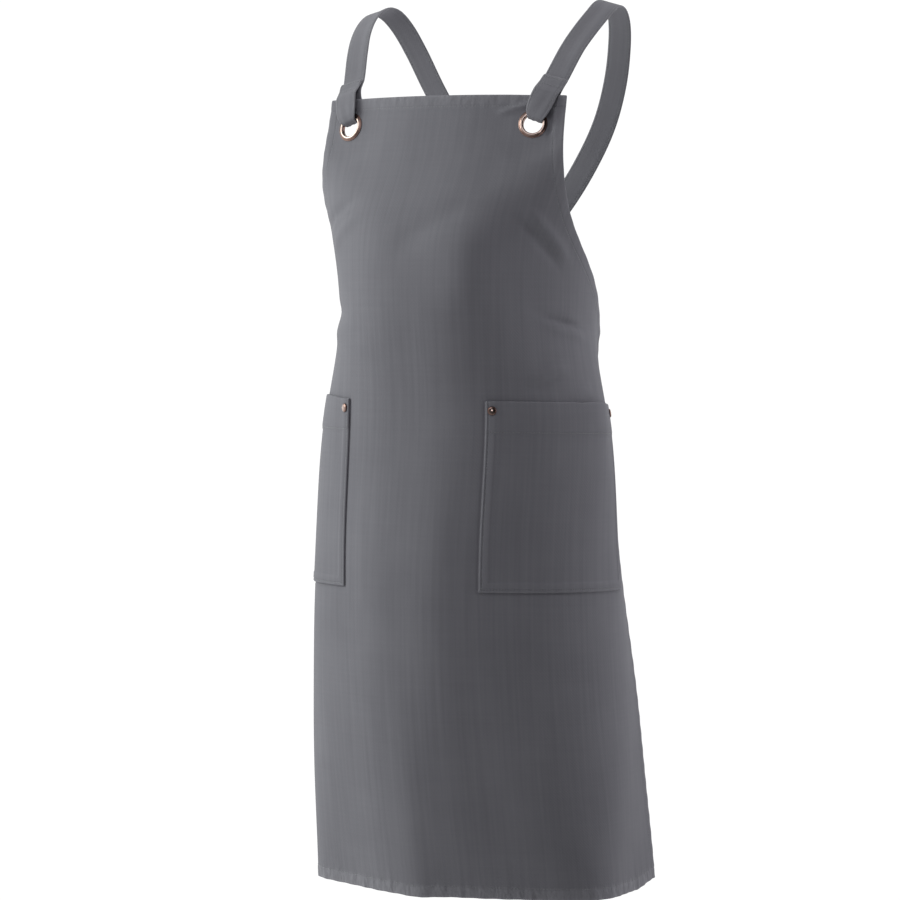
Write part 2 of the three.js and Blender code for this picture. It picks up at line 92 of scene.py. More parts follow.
# v: distance below the bib's top edge. front: Y of the centre front. facet: slant of the
# cloth beside the centre ridge. corner: distance along the cloth to the turn at the side.
# spread: half the length of that turn. side: direction of the cloth past it, in degrees.
DRAPE = np.array(
    [
        (0, -140, 14, 215, 45, 92),
        (80, -166, 14.5, 174, 85, 97),
        (165, -210, 18, 147, 149, 99),
        (250, -214, 20.5, 154, 168, 110.5),
        (335, -204, 20.5, 180, 156, 119.5),
        (470, -217, 24.5, 196, 153, 116),
        (650, -215, 27, 197, 127, 104.5),
        (860, -177, 27, 190, 55, 96),
    ]
)
TOP_Z = -99
RIDGE = 70
SIDE_DROOP = 15
DROOP_DEPTH = 330
CORNER_DROP = 1.4
CORNER_DEPTH = 200


def smooth(x):
    """Smooth step from 0 to 1."""
    t = np.clip(x, 0, 1)
    return t * t * (3 - 2 * t)


def bell(x):
    """Soft bump of height 1 at 0."""
    return np.exp(-(x**2))


def spline(xs, ys):
    """Natural cubic spline through the points (xs, ys)."""
    h = np.diff(xs)
    system, slope = np.eye(len(xs)), np.zeros(len(xs))
    for i in range(1, len(xs) - 1):
        system[i, i - 1 : i + 2] = h[i - 1], 2 * (h[i - 1] + h[i]), h[i]
        slope[i] = 6 * ((ys[i + 1] - ys[i]) / h[i] - (ys[i] - ys[i - 1]) / h[i - 1])
    bend = np.linalg.solve(system, slope)

    def at(x):
        i = np.clip(np.searchsorted(xs, x) - 1, 0, len(xs) - 2)
        b = (x - xs[i]) / h[i]
        a = 1 - b
        curve = (a**3 - a) * bend[i] + (b**3 - b) * bend[i + 1]
        return a * ys[i] + b * ys[i + 1] + curve * h[i] ** 2 / 6

    return at


def half_width(v):
    return BIB_HALF + (HALF_WIDTH - BIB_HALF) * np.clip(v / ARM_DEPTH, 0, 1) ** ARM_POWER


print("cut area, m2:", round(2 * np.sum(half_width(np.arange(0.5, LENGTH))) / 1e6, 3))

# %% [markdown]
# The walk is taken once, in steps of 2 mm, and kept as a table of points. Any place on the
# cloth is then read between four neighbours of that table. A place is given by s, across
# from the centre front towards the wearer's left, and v, down from the bib's top edge.

# %% Walk the cloth
STEP = 2.0
# How far the table reaches past the cloth: above, below and beside it
ABOVE, BELOW, BESIDE = 6, 8, 14
# Distance to the neighbours that tell which way the cloth faces
PROBE = 1.5

walk_v = np.arange(-ABOVE, LENGTH + BELOW, STEP)
walk_s = np.arange(0, HALF_WIDTH + BESIDE, STEP)

front, facet, corner, spread, side = (
    spline(DRAPE[:, 0], DRAPE[:, k])(walk_v)[:, None] for k in range(1, 6)
)
middle_s = walk_s[:-1] + STEP / 2
turn = smooth((middle_s - corner + spread) / (2 * spread))
heading = np.radians(facet * smooth(middle_s / RIDGE) + (side - facet) * turn)
lean = np.diff(front[:, 0]) / STEP
fall = np.concatenate([[0], np.cumsum(STEP * np.sqrt(1 - lean**2))])[:, None]

walk = np.zeros((len(walk_v), len(walk_s), 3))
walk[:, 1:, 0] = np.cumsum(STEP * np.cos(heading), axis=1)
walk[:, 1:, 1] = np.cumsum(STEP * np.sin(heading), axis=1)
walk[:, :, 1] += front
walk[:, :, 2] = TOP_Z - (fall - fall[walk_v == 0])
at_sides = smooth(walk_v / DROOP_DEPTH)[:, None]
walk[:, :, 2] -= SIDE_DROOP * (walk_s / HALF_WIDTH) ** 2 * at_sides
at_corners = 1 - smooth(walk_v / CORNER_DEPTH)[:, None]
walk[:, :, 2] -= CORNER_DROP * (walk_s / BIB_HALF) ** 2 * at_corners


def hang(s, v):
    """The bare drape at places on the cloth."""
    row = np.clip((v - walk_v[0]) / STEP, 0, len(walk_v) - 1.001)
    col = np.clip(np.abs(s) / STEP, 0, len(walk_s) - 1.001)
    i, j = row.astype(int), col.astype(int)
    down, over = (row - i)[..., None], (col - j)[..., None]
    upper = walk[i, j] * (1 - over) + walk[i, j + 1] * over
    lower = walk[i + 1, j] * (1 - over) + walk[i + 1, j + 1] * over
    point = upper * (1 - down) + lower * down
    point[..., 0] *= np.where(s < 0, -1, 1)
    return point


def unit(vector):
    return vector / np.linalg.norm(vector, axis=-1, keepdims=True)


def facing(place, s, v):
    """The way the cloth's outer face looks."""
    across = place(s + PROBE, v) - place(s - PROBE, v)
    down = place(s, v + PROBE) - place(s, v - PROBE)
    return unit(np.cross(down, across))


print("walk table:", walk.shape, "hem at z", walk[walk_v == LENGTH, 0, 2].round())

# %% [markdown]
# Worn cloth is never a clean surface. Pulls run from both armholes down to the chest, the
# waist is pinched at both sides, and short creases start at an eyelet. Broad ridges stand
# beside the chest and down the middle of the skirt. Each is a soft ridge or valley along a
# line. Under them lies a slow unevenness of half a millimetre, which is what keeps a large
# grey area from looking like sheet metal. The eyelets hold the cloth flat around them.

# %% Folds, unevenness and the flat places at the eyelets
# s0, v0, s1, v1: the fold's line. width: half its breadth. rise: height, below 0 a valley.
FOLDS = [
    (110, 124, 198, 194, 6.5, 3.6),
    (102, 133, 186, 203, 5.5, -2.6),
    (75, 112, -30, 190, 14, -1.6),
    (146, 252, 275, 250, 14, -2.0),
    (132, 242, 224, 255, 3.4, -3.2),
    (146, 256, 236, 266, 6, 2.2),
    (124, 316, 186, 294, 4.5, 3.0),
    (120, 325, 176, 305, 4, -2.2),
    (178, 336, 224, 314, 5, 2.4),
    (78, 135, 56, 325, 38, 5.5),
    (72, 128, 66, 262, 28, 6.5),
    (114, 138, 104, 320, 36, 3.8),
    (-166, 158, -70, 116, 7, -2.8),
    (-140, 182, -56, 132, 8, 2.0),
    (-235, 239, -70, 245, 9, -2.1),
    (-235, 261, -70, 267, 10, 1.9),
    (125, 8, 127, 48, 2.6, -3.5),
    (66, 21, 110, 9.5, 3.2, 2.8),
    (-2, 560, -2, 1150, 20, 3.0),
    (0, 740, 0, 1150, 20, 2.0),
    (40, 740, 40, 1150, 28, -2.0),
]
# Share of its length over which a fold fades at each end
FOLD_FADE = 0.35
EYELET_S = 108.5
EYELET_V = 31.5
# Distances from an eyelet's middle: the cloth that it grips, and the flat cloth round it
GRIP, GRIP_FADE = 15.5, 4
FLAT_INNER, FLAT_OUTER = 27.5, 46

eyelet_place = np.array([EYELET_S]), np.array([EYELET_V])
eyelet_centre = hang(*eyelet_place)[0]
eyelet_normal = facing(hang, *eyelet_place)[0]


def fold_rise(s, v):
    """Height of the folds and the unevenness at places on the cloth."""
    rise = 0.45 * np.sin(s / 37 + 0.8 * np.sin(v / 61)) * np.sin(v / 83 + 1.1)
    rise += 0.3 * np.sin((s + 0.6 * v) / 29 + 2) * np.sin((v - 0.4 * s) / 71)
    for s0, v0, s1, v1, width, height in FOLDS:
        ds, dv = s1 - s0, v1 - v0
        length = math.hypot(ds, dv)
        along = ((s - s0) * ds + (v - v0) * dv) / length
        aside = ((s - s0) * dv - (v - v0) * ds) / length
        fade = FOLD_FADE * length
        ends = smooth(along / fade) * smooth((length - along) / fade)
        rise += height * ends * bell(aside / width)
    return rise


def surface(s, v):
    """The panel's outer face at places on the cloth."""
    a = np.abs(s)
    point = hang(a, v)
    away = np.hypot(a - EYELET_S, v - EYELET_V)
    flat = 1 - smooth((away - FLAT_INNER) / (FLAT_OUTER - FLAT_INNER))
    lift = (point - eyelet_centre) @ eyelet_normal
    point -= (flat * lift)[..., None] * eyelet_normal
    free = smooth((away - GRIP) / GRIP_FADE)
    point += (free * fold_rise(s, v))[..., None] * facing(hang, a, v)
    point[..., 0] *= np.where(s < 0, -1, 1)
    return point


def outward(s, v):
    return facing(surface, s, v)


def offset(s, v, out):
    return surface(s, v) + outward(s, v) * np.asarray(out)[..., None]


print("eyelet centre, mm:", eyelet_centre.round(1), "looks along", eyelet_normal.round(2))

# %% [markdown]
# ## Finishes
# Every finish is a small network of shading nodes. One helper adds a node with its choices,
# and another sets or joins a node's inputs. Colours are written as they look on a screen
# and turned into the linear values that light is computed with.


# %% Helpers for finishes
def linear(hex_colour):
    """Screen colour such as 64656A as linear red, green, blue and alpha."""
    parts = [int(hex_colour[i : i + 2], 16) / 255 for i in (0, 2, 4)]
    return [c / 12.92 if c <= 0.04045 else ((c + 0.055) / 1.055) ** 2.4 for c in parts] + [1]


def join(tree, node, inputs):
    """Set a node's inputs to values, to outputs, or to other nodes' first output in use."""
    for name, value in inputs.items():
        if isinstance(value, bpy.types.Node):
            value = next(output for output in value.outputs if output.enabled)
        if isinstance(value, bpy.types.NodeSocket):
            tree.links.new(value, node.inputs[name])
        else:
            node.inputs[name].default_value = value


def add(tree, kind, inputs=(), **choices):
    """Add a node with its choices and its inputs."""
    node = tree.nodes.new(kind)
    for name, value in choices.items():
        setattr(node, name, value)
    join(tree, node, dict(inputs))
    return node


def finish_named(name):
    """A new material, its node tree and its shader."""
    material = bpy.data.materials.new(name)
    material.use_nodes = True
    return material, material.node_tree, material.node_tree.nodes["Principled BSDF"]


# %% [markdown]
# Cotton canvas is a plain weave of thick yarns. The real yarns lie about 0.6 mm apart, less
# than the picture can show, so they are drawn 1.7 mm apart. Spun cotton is uneven, and its
# thick places, the slubs, make long faint streaks down the warp and shorter ones across.
# Canvas has no gloss. Its loose fibre ends catch light that grazes the surface, which is the
# sheen. Hems and corners rub, lose a little dye and turn paler. The same paler tone also
# paints
# highlights on raised edges: the pockets' edges and folded strips, and the straps' tail ends.

# %% Cotton canvas: weave and slubs
YARN = 1.7
WANDER = 9.0
# Noise cells: 5 by 200 mm down the warp, 110 by 3 mm across, and clouds of 120 mm
STREAKS = ((220, 5, 1), (9, 330, 1), (8, 8, 1))


def canvas_patterns(tree, place):
    """The weave, and the streaks down the warp, across it and in clouds."""
    split = add(tree, "ShaderNodeSeparateXYZ", {"Vector": place})
    drift = add(tree, "ShaderNodeTexNoise", {"Vector": place, "Scale": 90, "Detail": 1})
    wander = add(tree, "ShaderNodeMath", {0: drift, 1: WANDER}, operation="MULTIPLY")
    waves = []
    for axis in ("X", "Y"):
        turn = {0: split.outputs[axis], 1: math.pi / (YARN * MM), 2: wander}
        turn = add(tree, "ShaderNodeMath", turn, operation="MULTIPLY_ADD")
        waves.append(add(tree, "ShaderNodeMath", {0: turn}, operation="SINE"))
    weave = {0: waves[0], 1: waves[1]}
    weave = add(tree, "ShaderNodeMath", weave, operation="MULTIPLY")
    streaks = []
    for scale in STREAKS:
        cells = add(tree, "ShaderNodeMapping", {"Vector": place, "Scale": scale})
        noise = {"Vector": cells, "Scale": 1, "Detail": 3, "Roughness": 0.6}
        streaks.append(add(tree, "ShaderNodeTexNoise", noise))
    return weave, streaks


print("canvas yarn drawn every", YARN, "mm")

# %% [markdown]
# The streaks shade the dye, dry the surface and thicken the yarns. Hems are drawn up by
# their stitching into small ripples, about 10 mm apart. They are too fine for the mesh, so
# they only bend the light.


# %% Cotton canvas: dye, wear and ripples
def hem_ripples(tree, place):
    """Small ripples where the cloth's own value called drawn is high."""
    drawn = add(tree, "ShaderNodeAttribute", attribute_name="drawn").outputs["Fac"]
    ripple = add(tree, "ShaderNodeMapping", {"Vector": place, "Scale": (95, 45, 1)})
    ripple = {"Vector": ripple, "Scale": 1, "Detail": 2}
    ripple = add(tree, "ShaderNodeTexNoise", ripple)
    ripple = add(tree, "ShaderNodeMath", {0: ripple, 1: 0.5}, operation="SUBTRACT")
    ripple = add(tree, "ShaderNodeMath", {0: ripple, 1: drawn}, operation="MULTIPLY")
    ripple = {"Height": ripple, "Strength": 1.0, "Distance": 0.0036}
    return add(tree, "ShaderNodeBump", ripple)


def canvas(name, dark, light, worn_and_painted_highlight):
    """Charcoal cotton canvas: soft dry grey with faint streaks down the warp."""
    material, tree, shader = finish_named(name)
    place = add(tree, "ShaderNodeTexCoord").outputs["UV"]
    weave, (warp, weft, clouds) = canvas_patterns(tree, place)
    shade = add(tree, "ShaderNodeMath", {0: weft, 1: 0.3}, operation="MULTIPLY")
    shade = add(tree, "ShaderNodeMath", {0: warp, 1: shade}, operation="ADD")
    shade = add(tree, "ShaderNodeMath", {0: clouds, 1: shade}, operation="ADD")
    shade = {"Value": shade, "From Min": 0.6, "From Max": 1.65}
    shade = add(tree, "ShaderNodeMapRange", shade)
    yarn = {0: weave, 1: 0.022, 2: shade}
    yarn = add(tree, "ShaderNodeMath", yarn, operation="MULTIPLY_ADD", use_clamp=True)
    dyed = {"Factor": yarn, "A": linear(dark), "B": linear(light)}
    dyed = add(tree, "ShaderNodeMix", dyed, data_type="RGBA")
    # Paler where the cloth is rubbed, and where raised edges get a painted highlight.
    rub_and_painted_highlight = add(tree, "ShaderNodeAttribute", attribute_name="wear_and_painted_highlight").outputs["Fac"]
    rub_and_painted_highlight = {0: rub_and_painted_highlight, 1: warp}
    rub_and_painted_highlight = add(tree, "ShaderNodeMath", rub_and_painted_highlight, operation="MULTIPLY", use_clamp=True)
    paler = {"Factor": rub_and_painted_highlight, "A": dyed, "B": linear(worn_and_painted_highlight)}
    paler = add(tree, "ShaderNodeMix", paler, data_type="RGBA")

    dry = {"Value": warp, "To Min": 0.84, "To Max": 0.96}
    dry = add(tree, "ShaderNodeMapRange", dry)
    slub = {0: warp, 1: 0.8, 2: weave}
    slub = add(tree, "ShaderNodeMath", slub, operation="MULTIPLY_ADD")
    bump = {"Normal": hem_ripples(tree, place)}
    bump |= {"Height": slub, "Strength": 0.065, "Distance": 0.0004}
    bump = add(tree, "ShaderNodeBump", bump)
    look = {"Base Color": paler, "Roughness": dry, "Normal": bump}
    look |= {"IOR": 1.47, "Specular IOR Level": 0.05}
    look |= {"Sheen Weight": 0.01, "Sheen Roughness": 0.55}
    join(tree, shader, look)
    return material


charcoal_canvas = canvas("charcoal_cotton_canvas", "5C5B62", "6B6A71", "807F86")
# The straps are the same canvas in lighter colours: painted light, standing in for the extra
# light that falls on them.
strap_canvas_painted_lighter = canvas("folded_strap_canvas_painted_lighter", "605F66", "706F76", "858489")
print("nodes in a canvas:", len(charcoal_canvas.node_tree.nodes))

# %% [markdown]
# Sewing thread is twisted from two or three finer threads, so it has a slanting twist and a
# little more gloss than the canvas. It is dyed to match the cloth and stands out only by
# its gloss and its small shadows.

# %% Cotton sewing thread
TWIST = 900

grey_thread, tree, shader = finish_named("twisted_grey_thread")
place = add(tree, "ShaderNodeTexCoord").outputs["UV"]
twist = {"Vector": place, "Scale": TWIST, "Distortion": 0.4}
twist = add(tree, "ShaderNodeTexWave", twist, bands_direction="DIAGONAL").outputs["Fac"]
dyed = {"Factor": twist, "A": linear("57585D"), "B": linear("74757B")}
dyed = add(tree, "ShaderNodeMix", dyed, data_type="RGBA")
dry = {"Value": twist, "To Min": 0.6, "To Max": 0.75}
dry = add(tree, "ShaderNodeMapRange", dry)
bump = {"Height": twist, "Strength": 0.3, "Distance": 0.0001}
bump = add(tree, "ShaderNodeBump", bump)
look = {"Base Color": dyed, "Roughness": dry, "Normal": bump, "Sheen Weight": 0.1}
join(tree, shader, look)
# The wave pattern has ten radians to a unit of length, times its scale
print("thread twist every", round(2 * math.pi / (10 * TWIST) / MM, 2), "mm")

# %% [markdown]
# The eyelets and rivets are brass with an antique copper plate. The plate is darkened and
# then rubbed back, so hollows stay brown and the high rims are bright and pinkish. Fine
# scratches from the tumbling drum break up the reflections.

# %% Antique copper plate
antique_copper, tree, shader = finish_named("antique_copper_plate")
place = add(tree, "ShaderNodeTexCoord").outputs["Object"]
stain = {"Vector": place, "Scale": 260, "Detail": 3, "Roughness": 0.6}
stain = add(tree, "ShaderNodeTexNoise", stain)
scratch = add(tree, "ShaderNodeMapping", {"Vector": place, "Scale": (3500, 400, 3500)})
scratch = {"Vector": scratch, "Scale": 1, "Detail": 2}
scratch = add(tree, "ShaderNodeTexNoise", scratch)
# On the fittings this value is only how far the plate is rubbed back.
polish = add(tree, "ShaderNodeAttribute", attribute_name="wear_and_painted_highlight").outputs["Fac"]
stain = {0: stain, 1: 0.5, 2: -0.25}
stain = add(tree, "ShaderNodeMath", stain, operation="MULTIPLY_ADD")
rubbed = {0: polish, 1: stain}
rubbed = add(tree, "ShaderNodeMath", rubbed, operation="ADD", use_clamp=True)
plate = {"Factor": rubbed, "A": linear("4A2A24"), "B": linear("968580")}
plate = add(tree, "ShaderNodeMix", plate, data_type="RGBA")
gloss = {"Value": rubbed, "To Min": 0.38, "To Max": 0.15}
gloss = add(tree, "ShaderNodeMapRange", gloss)
bump = {"Height": scratch, "Strength": 0.12, "Distance": 0.0001}
bump = add(tree, "ShaderNodeBump", bump)
look = {"Base Color": plate, "Roughness": gloss, "Normal": bump, "Metallic": 1}
join(tree, shader, look)
print("finishes:", [m.name for m in bpy.data.materials if m.use_nodes])

# %% [markdown]
# ## Making a piece of cloth
# A sheet has an outer and an inner face that share one grid, and a rolled edge between them.
# The roll is a half circle, because a hem is a fold and a fold is round. Each point also
# keeps its place in the flat cut, so the weave follows the cloth, and how much paler it is
# from rubbing and from painted highlights.


# %% Mesh objects
def make_piece(name, points, faces, flat, wear_and_painted_highlight, material):
    """A mesh object from points and flat places in millimetres."""
    mesh = bpy.data.meshes.new(name)
    mesh.from_pydata((points * MM).tolist(), [], faces)
    corners = np.zeros(len(mesh.loops), np.int32)
    mesh.loops.foreach_get("vertex_index", corners)
    mesh.uv_layers.new(name="UVMap").data.foreach_set("uv", (flat[corners] * MM).ravel())
    mesh.attributes.new("wear_and_painted_highlight", "FLOAT", "POINT").data.foreach_set("value", wear_and_painted_highlight)
    mesh.polygons.foreach_set("use_smooth", np.ones(len(mesh.polygons), bool))
    mesh.materials.append(material)
    piece = bpy.data.objects.new(name, mesh)
    bpy.context.collection.objects.link(piece)
    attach(piece, "root")
    return piece


# %% [markdown]
# The roll joins a sheet's two faces round its border. A plain wall joins them round each
# hole. Points that no face uses are dropped at the end.


# %% Sheets with a rolled edge
def rim_of(rows, cols):
    """Grid places round the border: down the left, along the foot, up and back."""
    left = [(i, 0) for i in range(rows - 1)]
    foot = [(rows - 1, j) for j in range(cols - 1)]
    right = [(i, cols - 1) for i in range(rows - 1, 0, -1)]
    top = [(0, j) for j in range(cols - 1, 0, -1)]
    return np.array(left + foot + right + top)


def hole_walls(holes, front_of, back_of):
    """Faces round a sheet's holes, from its outer face to its inner one."""
    walls = []
    for i, j in np.argwhere(holes):
        sides = (
            ((i, j - 1), (i + 1, j), (i, j)),
            ((i, j + 1), (i, j + 1), (i + 1, j + 1)),
            ((i - 1, j), (i, j), (i, j + 1)),
            ((i + 1, j), (i + 1, j + 1), (i + 1, j)),
        )
        for beside, p, q in sides:
            if not holes[beside]:
                walls.append([[front_of[q], front_of[p], back_of[p], back_of[q]]])
    return walls


def closed_sheet(outer, inner, flat, wear_and_painted_highlight, roll, holes):
    """Points, faces, flat places, wear and painted highlight of a sheet with a rolled edge.
    """
    rows, cols = outer.shape[:2]
    front_of = np.arange(rows * cols).reshape(rows, cols)
    back_of = front_of + rows * cols
    quads = np.stack(
        [front_of[:-1, :-1], front_of[1:, :-1], front_of[1:, 1:], front_of[:-1, 1:]], axis=-1
    )
    kept = quads[~holes]
    faces = [kept, kept[:, ::-1] + rows * cols] + hole_walls(holes, front_of, back_of)

    # The roll: three lines of points round a half circle
    rim = rim_of(rows, cols)
    i, j = rim.T
    inward = np.clip(rim, 1, [rows - 2, cols - 2])
    run = unit(np.roll(outer[i, j], -1, axis=0) - np.roll(outer[i, j], 1, axis=0))
    away = outer[i, j] - outer[inward[:, 0], inward[:, 1]]
    away = unit(away - run * np.sum(away * run, axis=1, keepdims=True))
    core, half = (outer[i, j] + inner[i, j]) / 2, (outer[i, j] - inner[i, j]) / 2
    lines = [front_of[i, j]]
    points = [outer.reshape(-1, 3), inner.reshape(-1, 3)]
    for k, angle in enumerate((45, 90, 135)):
        c, s = math.cos(math.radians(angle)), math.sin(math.radians(angle))
        points.append(core + half * c + away * roll * s)
        lines.append(2 * rows * cols + k * len(rim) + np.arange(len(rim)))
    lines.append(back_of[i, j])
    for upper, lower in zip(lines, lines[1:]):
        strip = [upper, lower, np.roll(lower, -1), np.roll(upper, -1)]
        faces.append(np.stack(strip, axis=-1))
    points, faces = np.vstack(points), np.vstack(faces)
    rim_flat, rim_wear_and_painted_highlight = [flat[i, j]] * 3, [wear_and_painted_highlight[i, j]] * 3
    flat = np.vstack([flat.reshape(-1, 2)] * 2 + rim_flat)
    wear_and_painted_highlight = np.concatenate([wear_and_painted_highlight.ravel()] * 2 + rim_wear_and_painted_highlight)
    used, again = np.unique(faces, return_inverse=True)
    faces = again.reshape(faces.shape)
    return points[used], faces.tolist(), flat[used], wear_and_painted_highlight[used]


# %% [markdown]
# ## The panel
# All its edges are turned in and stitched. A hem is two or three cloths thick, so it stands
# a little proud, and its stitching pulls a narrow groove. The grid has close lines at the
# hems, so that grooves and steps are sharp there, and wide ones in the calm middle. Near
# the armholes the edge runs aslant, and the hem lines spread to keep their distance from it.

# %% Panel: grid of places on the cloth
CLOTH = 1.2
# edge: distances of the grid lines from the edge. hem: its width. line: its stitching.
TOP_EDGE = [1.2, 2.4, 4.5, 7.5, 10.2, 11.6, 12.2, 12.8, 13.6, 14.8, 17]
TOP_HEM, TOP_LINE = 13.5, 12.2
FOOT_EDGE = [1.2, 2.4, 4.5, 7.5, 10.5, 12.2, 12.8, 13.4, 14.2, 15.4, 17.5]
FOOT_HEM, FOOT_LINE = 14, 12.8
SIDE_EDGE = [1.2, 2.2, 4, 6.5, 9, 10.2, 10.8, 11.4, 12.2, 13.4, 15.5]
SIDE_HEM, SIDE_LINE = 12, 10.8
# Share of a hem line's distance in which it turns at the foot of the armhole
ARM_TURN = 0.67
# The rows are closer at the eyelets and at the pinched waist
panel_v = np.concatenate(
    [
        TOP_EDGE,
        np.arange(19, 52, 2.2),
        np.arange(54, 246, 4.2),
        np.arange(247, 277, 2),
        np.arange(279, 838, 4.4),
        LENGTH - np.array(FOOT_EDGE[::-1]),
    ]
)
ARM_SLOPE = (HALF_WIDTH - BIB_HALF) * ARM_POWER / ARM_DEPTH


def edge_reach(distance, v):
    """How far across the cloth a hem line lies from the edge."""
    slope = ARM_SLOPE * np.clip(v / ARM_DEPTH, 0, 1) ** (ARM_POWER - 1)
    aslant = np.hypot(1, slope)
    below = np.clip((v - ARM_DEPTH) / (ARM_TURN * distance), 0, 1)
    return distance * (aslant + (1 - aslant) * below)


print("panel rows:", len(panel_v))

# %% [markdown]
# The sewn pockets press into the panel, and the rivets go through it. Extra grid lines
# follow the pockets' sides and foot, and frame a small square hole for each rivet's post.

# %% Panel: lines at the pockets and rivets
# Columns in the calm middle, and a distance that counts as far from the side hems
CALM = 112
FAR = 99
POCKET_TOP, POCKET_FOOT = 334, 531
POCKET_IN, POCKET_OUT = 82, 290
# Distances of the extra lines outside a pocket's edge
PRESSED = np.array([-3.0, -1.2, 0.0, 0.7, 1.4, 2.4, 4.2])
RIVET_INSET, RIVET_DROP = 6.5, 10
RIVET_S = np.array([POCKET_IN + RIVET_INSET, POCKET_OUT - RIVET_INSET])
RIVET_V = POCKET_TOP + RIVET_DROP
POST_CUT = 2.1
# Room that extra grid lines take: in millimetres down, and as a share of the width
ROW_CLEAR, COLUMN_CLEAR = 2.2, 0.007


def with_lines(lines, extra, clear):
    """Grid lines with some extra ones, whose near neighbours make way for them."""
    apart = np.abs(lines[:, None] - extra[None, :]).min(axis=1)
    return np.sort(np.concatenate([lines[apart > clear], extra]))


def middles(grid):
    """Middles of a grid's cells."""
    return (grid[:-1, :-1] + grid[1:, 1:]) / 2


def post_holes(s, v):
    """Grid cells that a rivet's post goes through."""
    beside = np.abs(np.abs(middles(s))[..., None] - RIVET_S).min(axis=-1)
    return (beside < POST_CUT) & (np.abs(middles(v) - RIVET_V) < POST_CUT)


extra = np.append(POCKET_FOOT + PRESSED, [RIVET_V - POST_CUT, RIVET_V + POST_CUT])
panel_v = with_lines(panel_v, extra, ROW_CLEAR)
extra = [POCKET_IN - PRESSED, POCKET_OUT + PRESSED, RIVET_S - POST_CUT, RIVET_S + POST_CUT]
extra = np.concatenate(extra) / (HALF_WIDTH - SIDE_EDGE[-1])
extra = np.append(extra, -extra)
calm = with_lines(np.linspace(-1, 1, CALM + 2)[1:-1], extra, COLUMN_CLEAR)
v_grid = panel_v[:, None]
side_lines = half_width(v_grid) - np.hstack([edge_reach(d, v_grid) for d in SIDE_EDGE])
calm_lines = side_lines[:, -1:] * calm
panel_s = np.hstack([-side_lines, calm_lines, side_lines[:, ::-1]])
panel_v = np.broadcast_to(v_grid, panel_s.shape)
from_side = np.array(SIDE_EDGE + [FAR] * len(calm) + SIDE_EDGE[::-1])[None, :]
print("panel grid:", panel_s.shape)

# %% [markdown]
# The hem's relief is worked out from the distances to the four edges. The skirt's foot hem
# is also puckered, because the bottom edge is a slight curve and the hem has less cloth.

# %% Panel: hems, puckers, holes and mesh
EYELET_CUT = 12.5
HEM_ROLL = 1.3
# Relief in front and behind: how far a hem stands out and how deep its stitches pull
HEM_OUT, HEM_IN = 0.45, 1.2
SEAM_OUT, SEAM_IN = 0.5, 0.35
# How deep a pocket's edge presses into the panel
PRESS = 0.55
# The skirt's foot corners are rounded off, beyond these places on the cloth
FOOT_LIFT, LIFT_S, LIFT_V = 7, 290, 760


def hem_zone(distance, width):
    return 1 - smooth((distance - width + 0.7) / 1.4)


def groove(distance, line):
    return bell((distance - line) / 0.75)


def ripple(place, height, wave, drift, slow):
    """Puckers along a hem: waves whose spacing drifts slowly."""
    return height * np.sin(place / wave + drift * np.sin(place / slow))


from_foot = LENGTH - panel_v
zone = np.maximum(hem_zone(panel_v, TOP_HEM), hem_zone(from_foot, FOOT_HEM))
zone = np.maximum(zone, hem_zone(from_side, SIDE_HEM))
sewn = groove(panel_v, TOP_LINE) + groove(from_foot, FOOT_LINE)
sewn = sewn + groove(from_side, SIDE_LINE)
pucker = ripple(panel_s, 0.5, 3.6, 1.3, 41) * np.exp(-from_foot / 22)
pucker += ripple(panel_v, 0.22, 3.1, 1, 37) * np.exp(-from_side / 14)

from_patch = np.abs(np.abs(panel_s) - (POCKET_IN + POCKET_OUT) / 2)
from_patch = from_patch - (POCKET_OUT - POCKET_IN) / 2
from_patch = np.maximum(from_patch, panel_v - POCKET_FOOT)
beside = smooth((panel_v - POCKET_TOP + 4) / 8)
press = PRESS * bell((from_patch - 0.9) / 1.1) * beside


def lifted(s, v):
    """Places with the foot's two corners rounded off, as a turned hem leaves them."""
    corner = smooth((np.abs(s) - LIFT_S) / (HALF_WIDTH - LIFT_S))
    return v - FOOT_LIFT * (corner * smooth((v - LIFT_V) / (LENGTH - LIFT_V)))


hung_v = lifted(panel_s, panel_v)

out = HEM_OUT * zone - SEAM_OUT * sewn + pucker - press
outer = offset(panel_s, hung_v, out)
out = pucker - CLOTH - HEM_IN * zone + SEAM_IN * sewn - press
inner = offset(panel_s, hung_v, out)
flat = np.stack([panel_s, panel_v], axis=-1)
nearest = np.minimum(np.minimum(panel_v, from_foot), from_side)
wear_and_painted_highlight = 0.75 * np.exp(-nearest / 1.6) + 0.2 * zone * (1 - np.clip(sewn, 0, 1))
wear_and_painted_highlight = wear_and_painted_highlight + 0.3 * hem_zone(from_foot, FOOT_HEM)
from_eyelet = np.hypot(np.abs(middles(panel_s)) - EYELET_S, middles(panel_v) - EYELET_V)
holes = (from_eyelet < EYELET_CUT) | post_holes(panel_s, panel_v)

sheet = closed_sheet(outer, inner, flat, wear_and_painted_highlight, HEM_ROLL, holes)
panel = make_piece("panel_cloth", *sheet, charcoal_canvas)
down_cloth = sheet[2][:, 1]
drawn = 1 - smooth((LENGTH - down_cloth - 8) / 12)
drawn = np.maximum(drawn, 0.5 - 0.5 * smooth((down_cloth - 8) / 10))
panel.data.attributes.new("drawn", "FLOAT", "POINT").data.foreach_set("value", drawn)
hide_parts("panel")
print("panel faces:", len(panel.data.polygons))

# %% [markdown]
# ## Patch pockets
# Each pocket is a nearly square patch. Its side and foot allowances are folded under, so a
# strip 10 mm wide along those edges is thicker and ends in a faint ridge. The mouth has a
# deep hem, 33 mm, sewn with one line. The patch lies close to the panel where it is sewn
# and its mouth stands a little open.

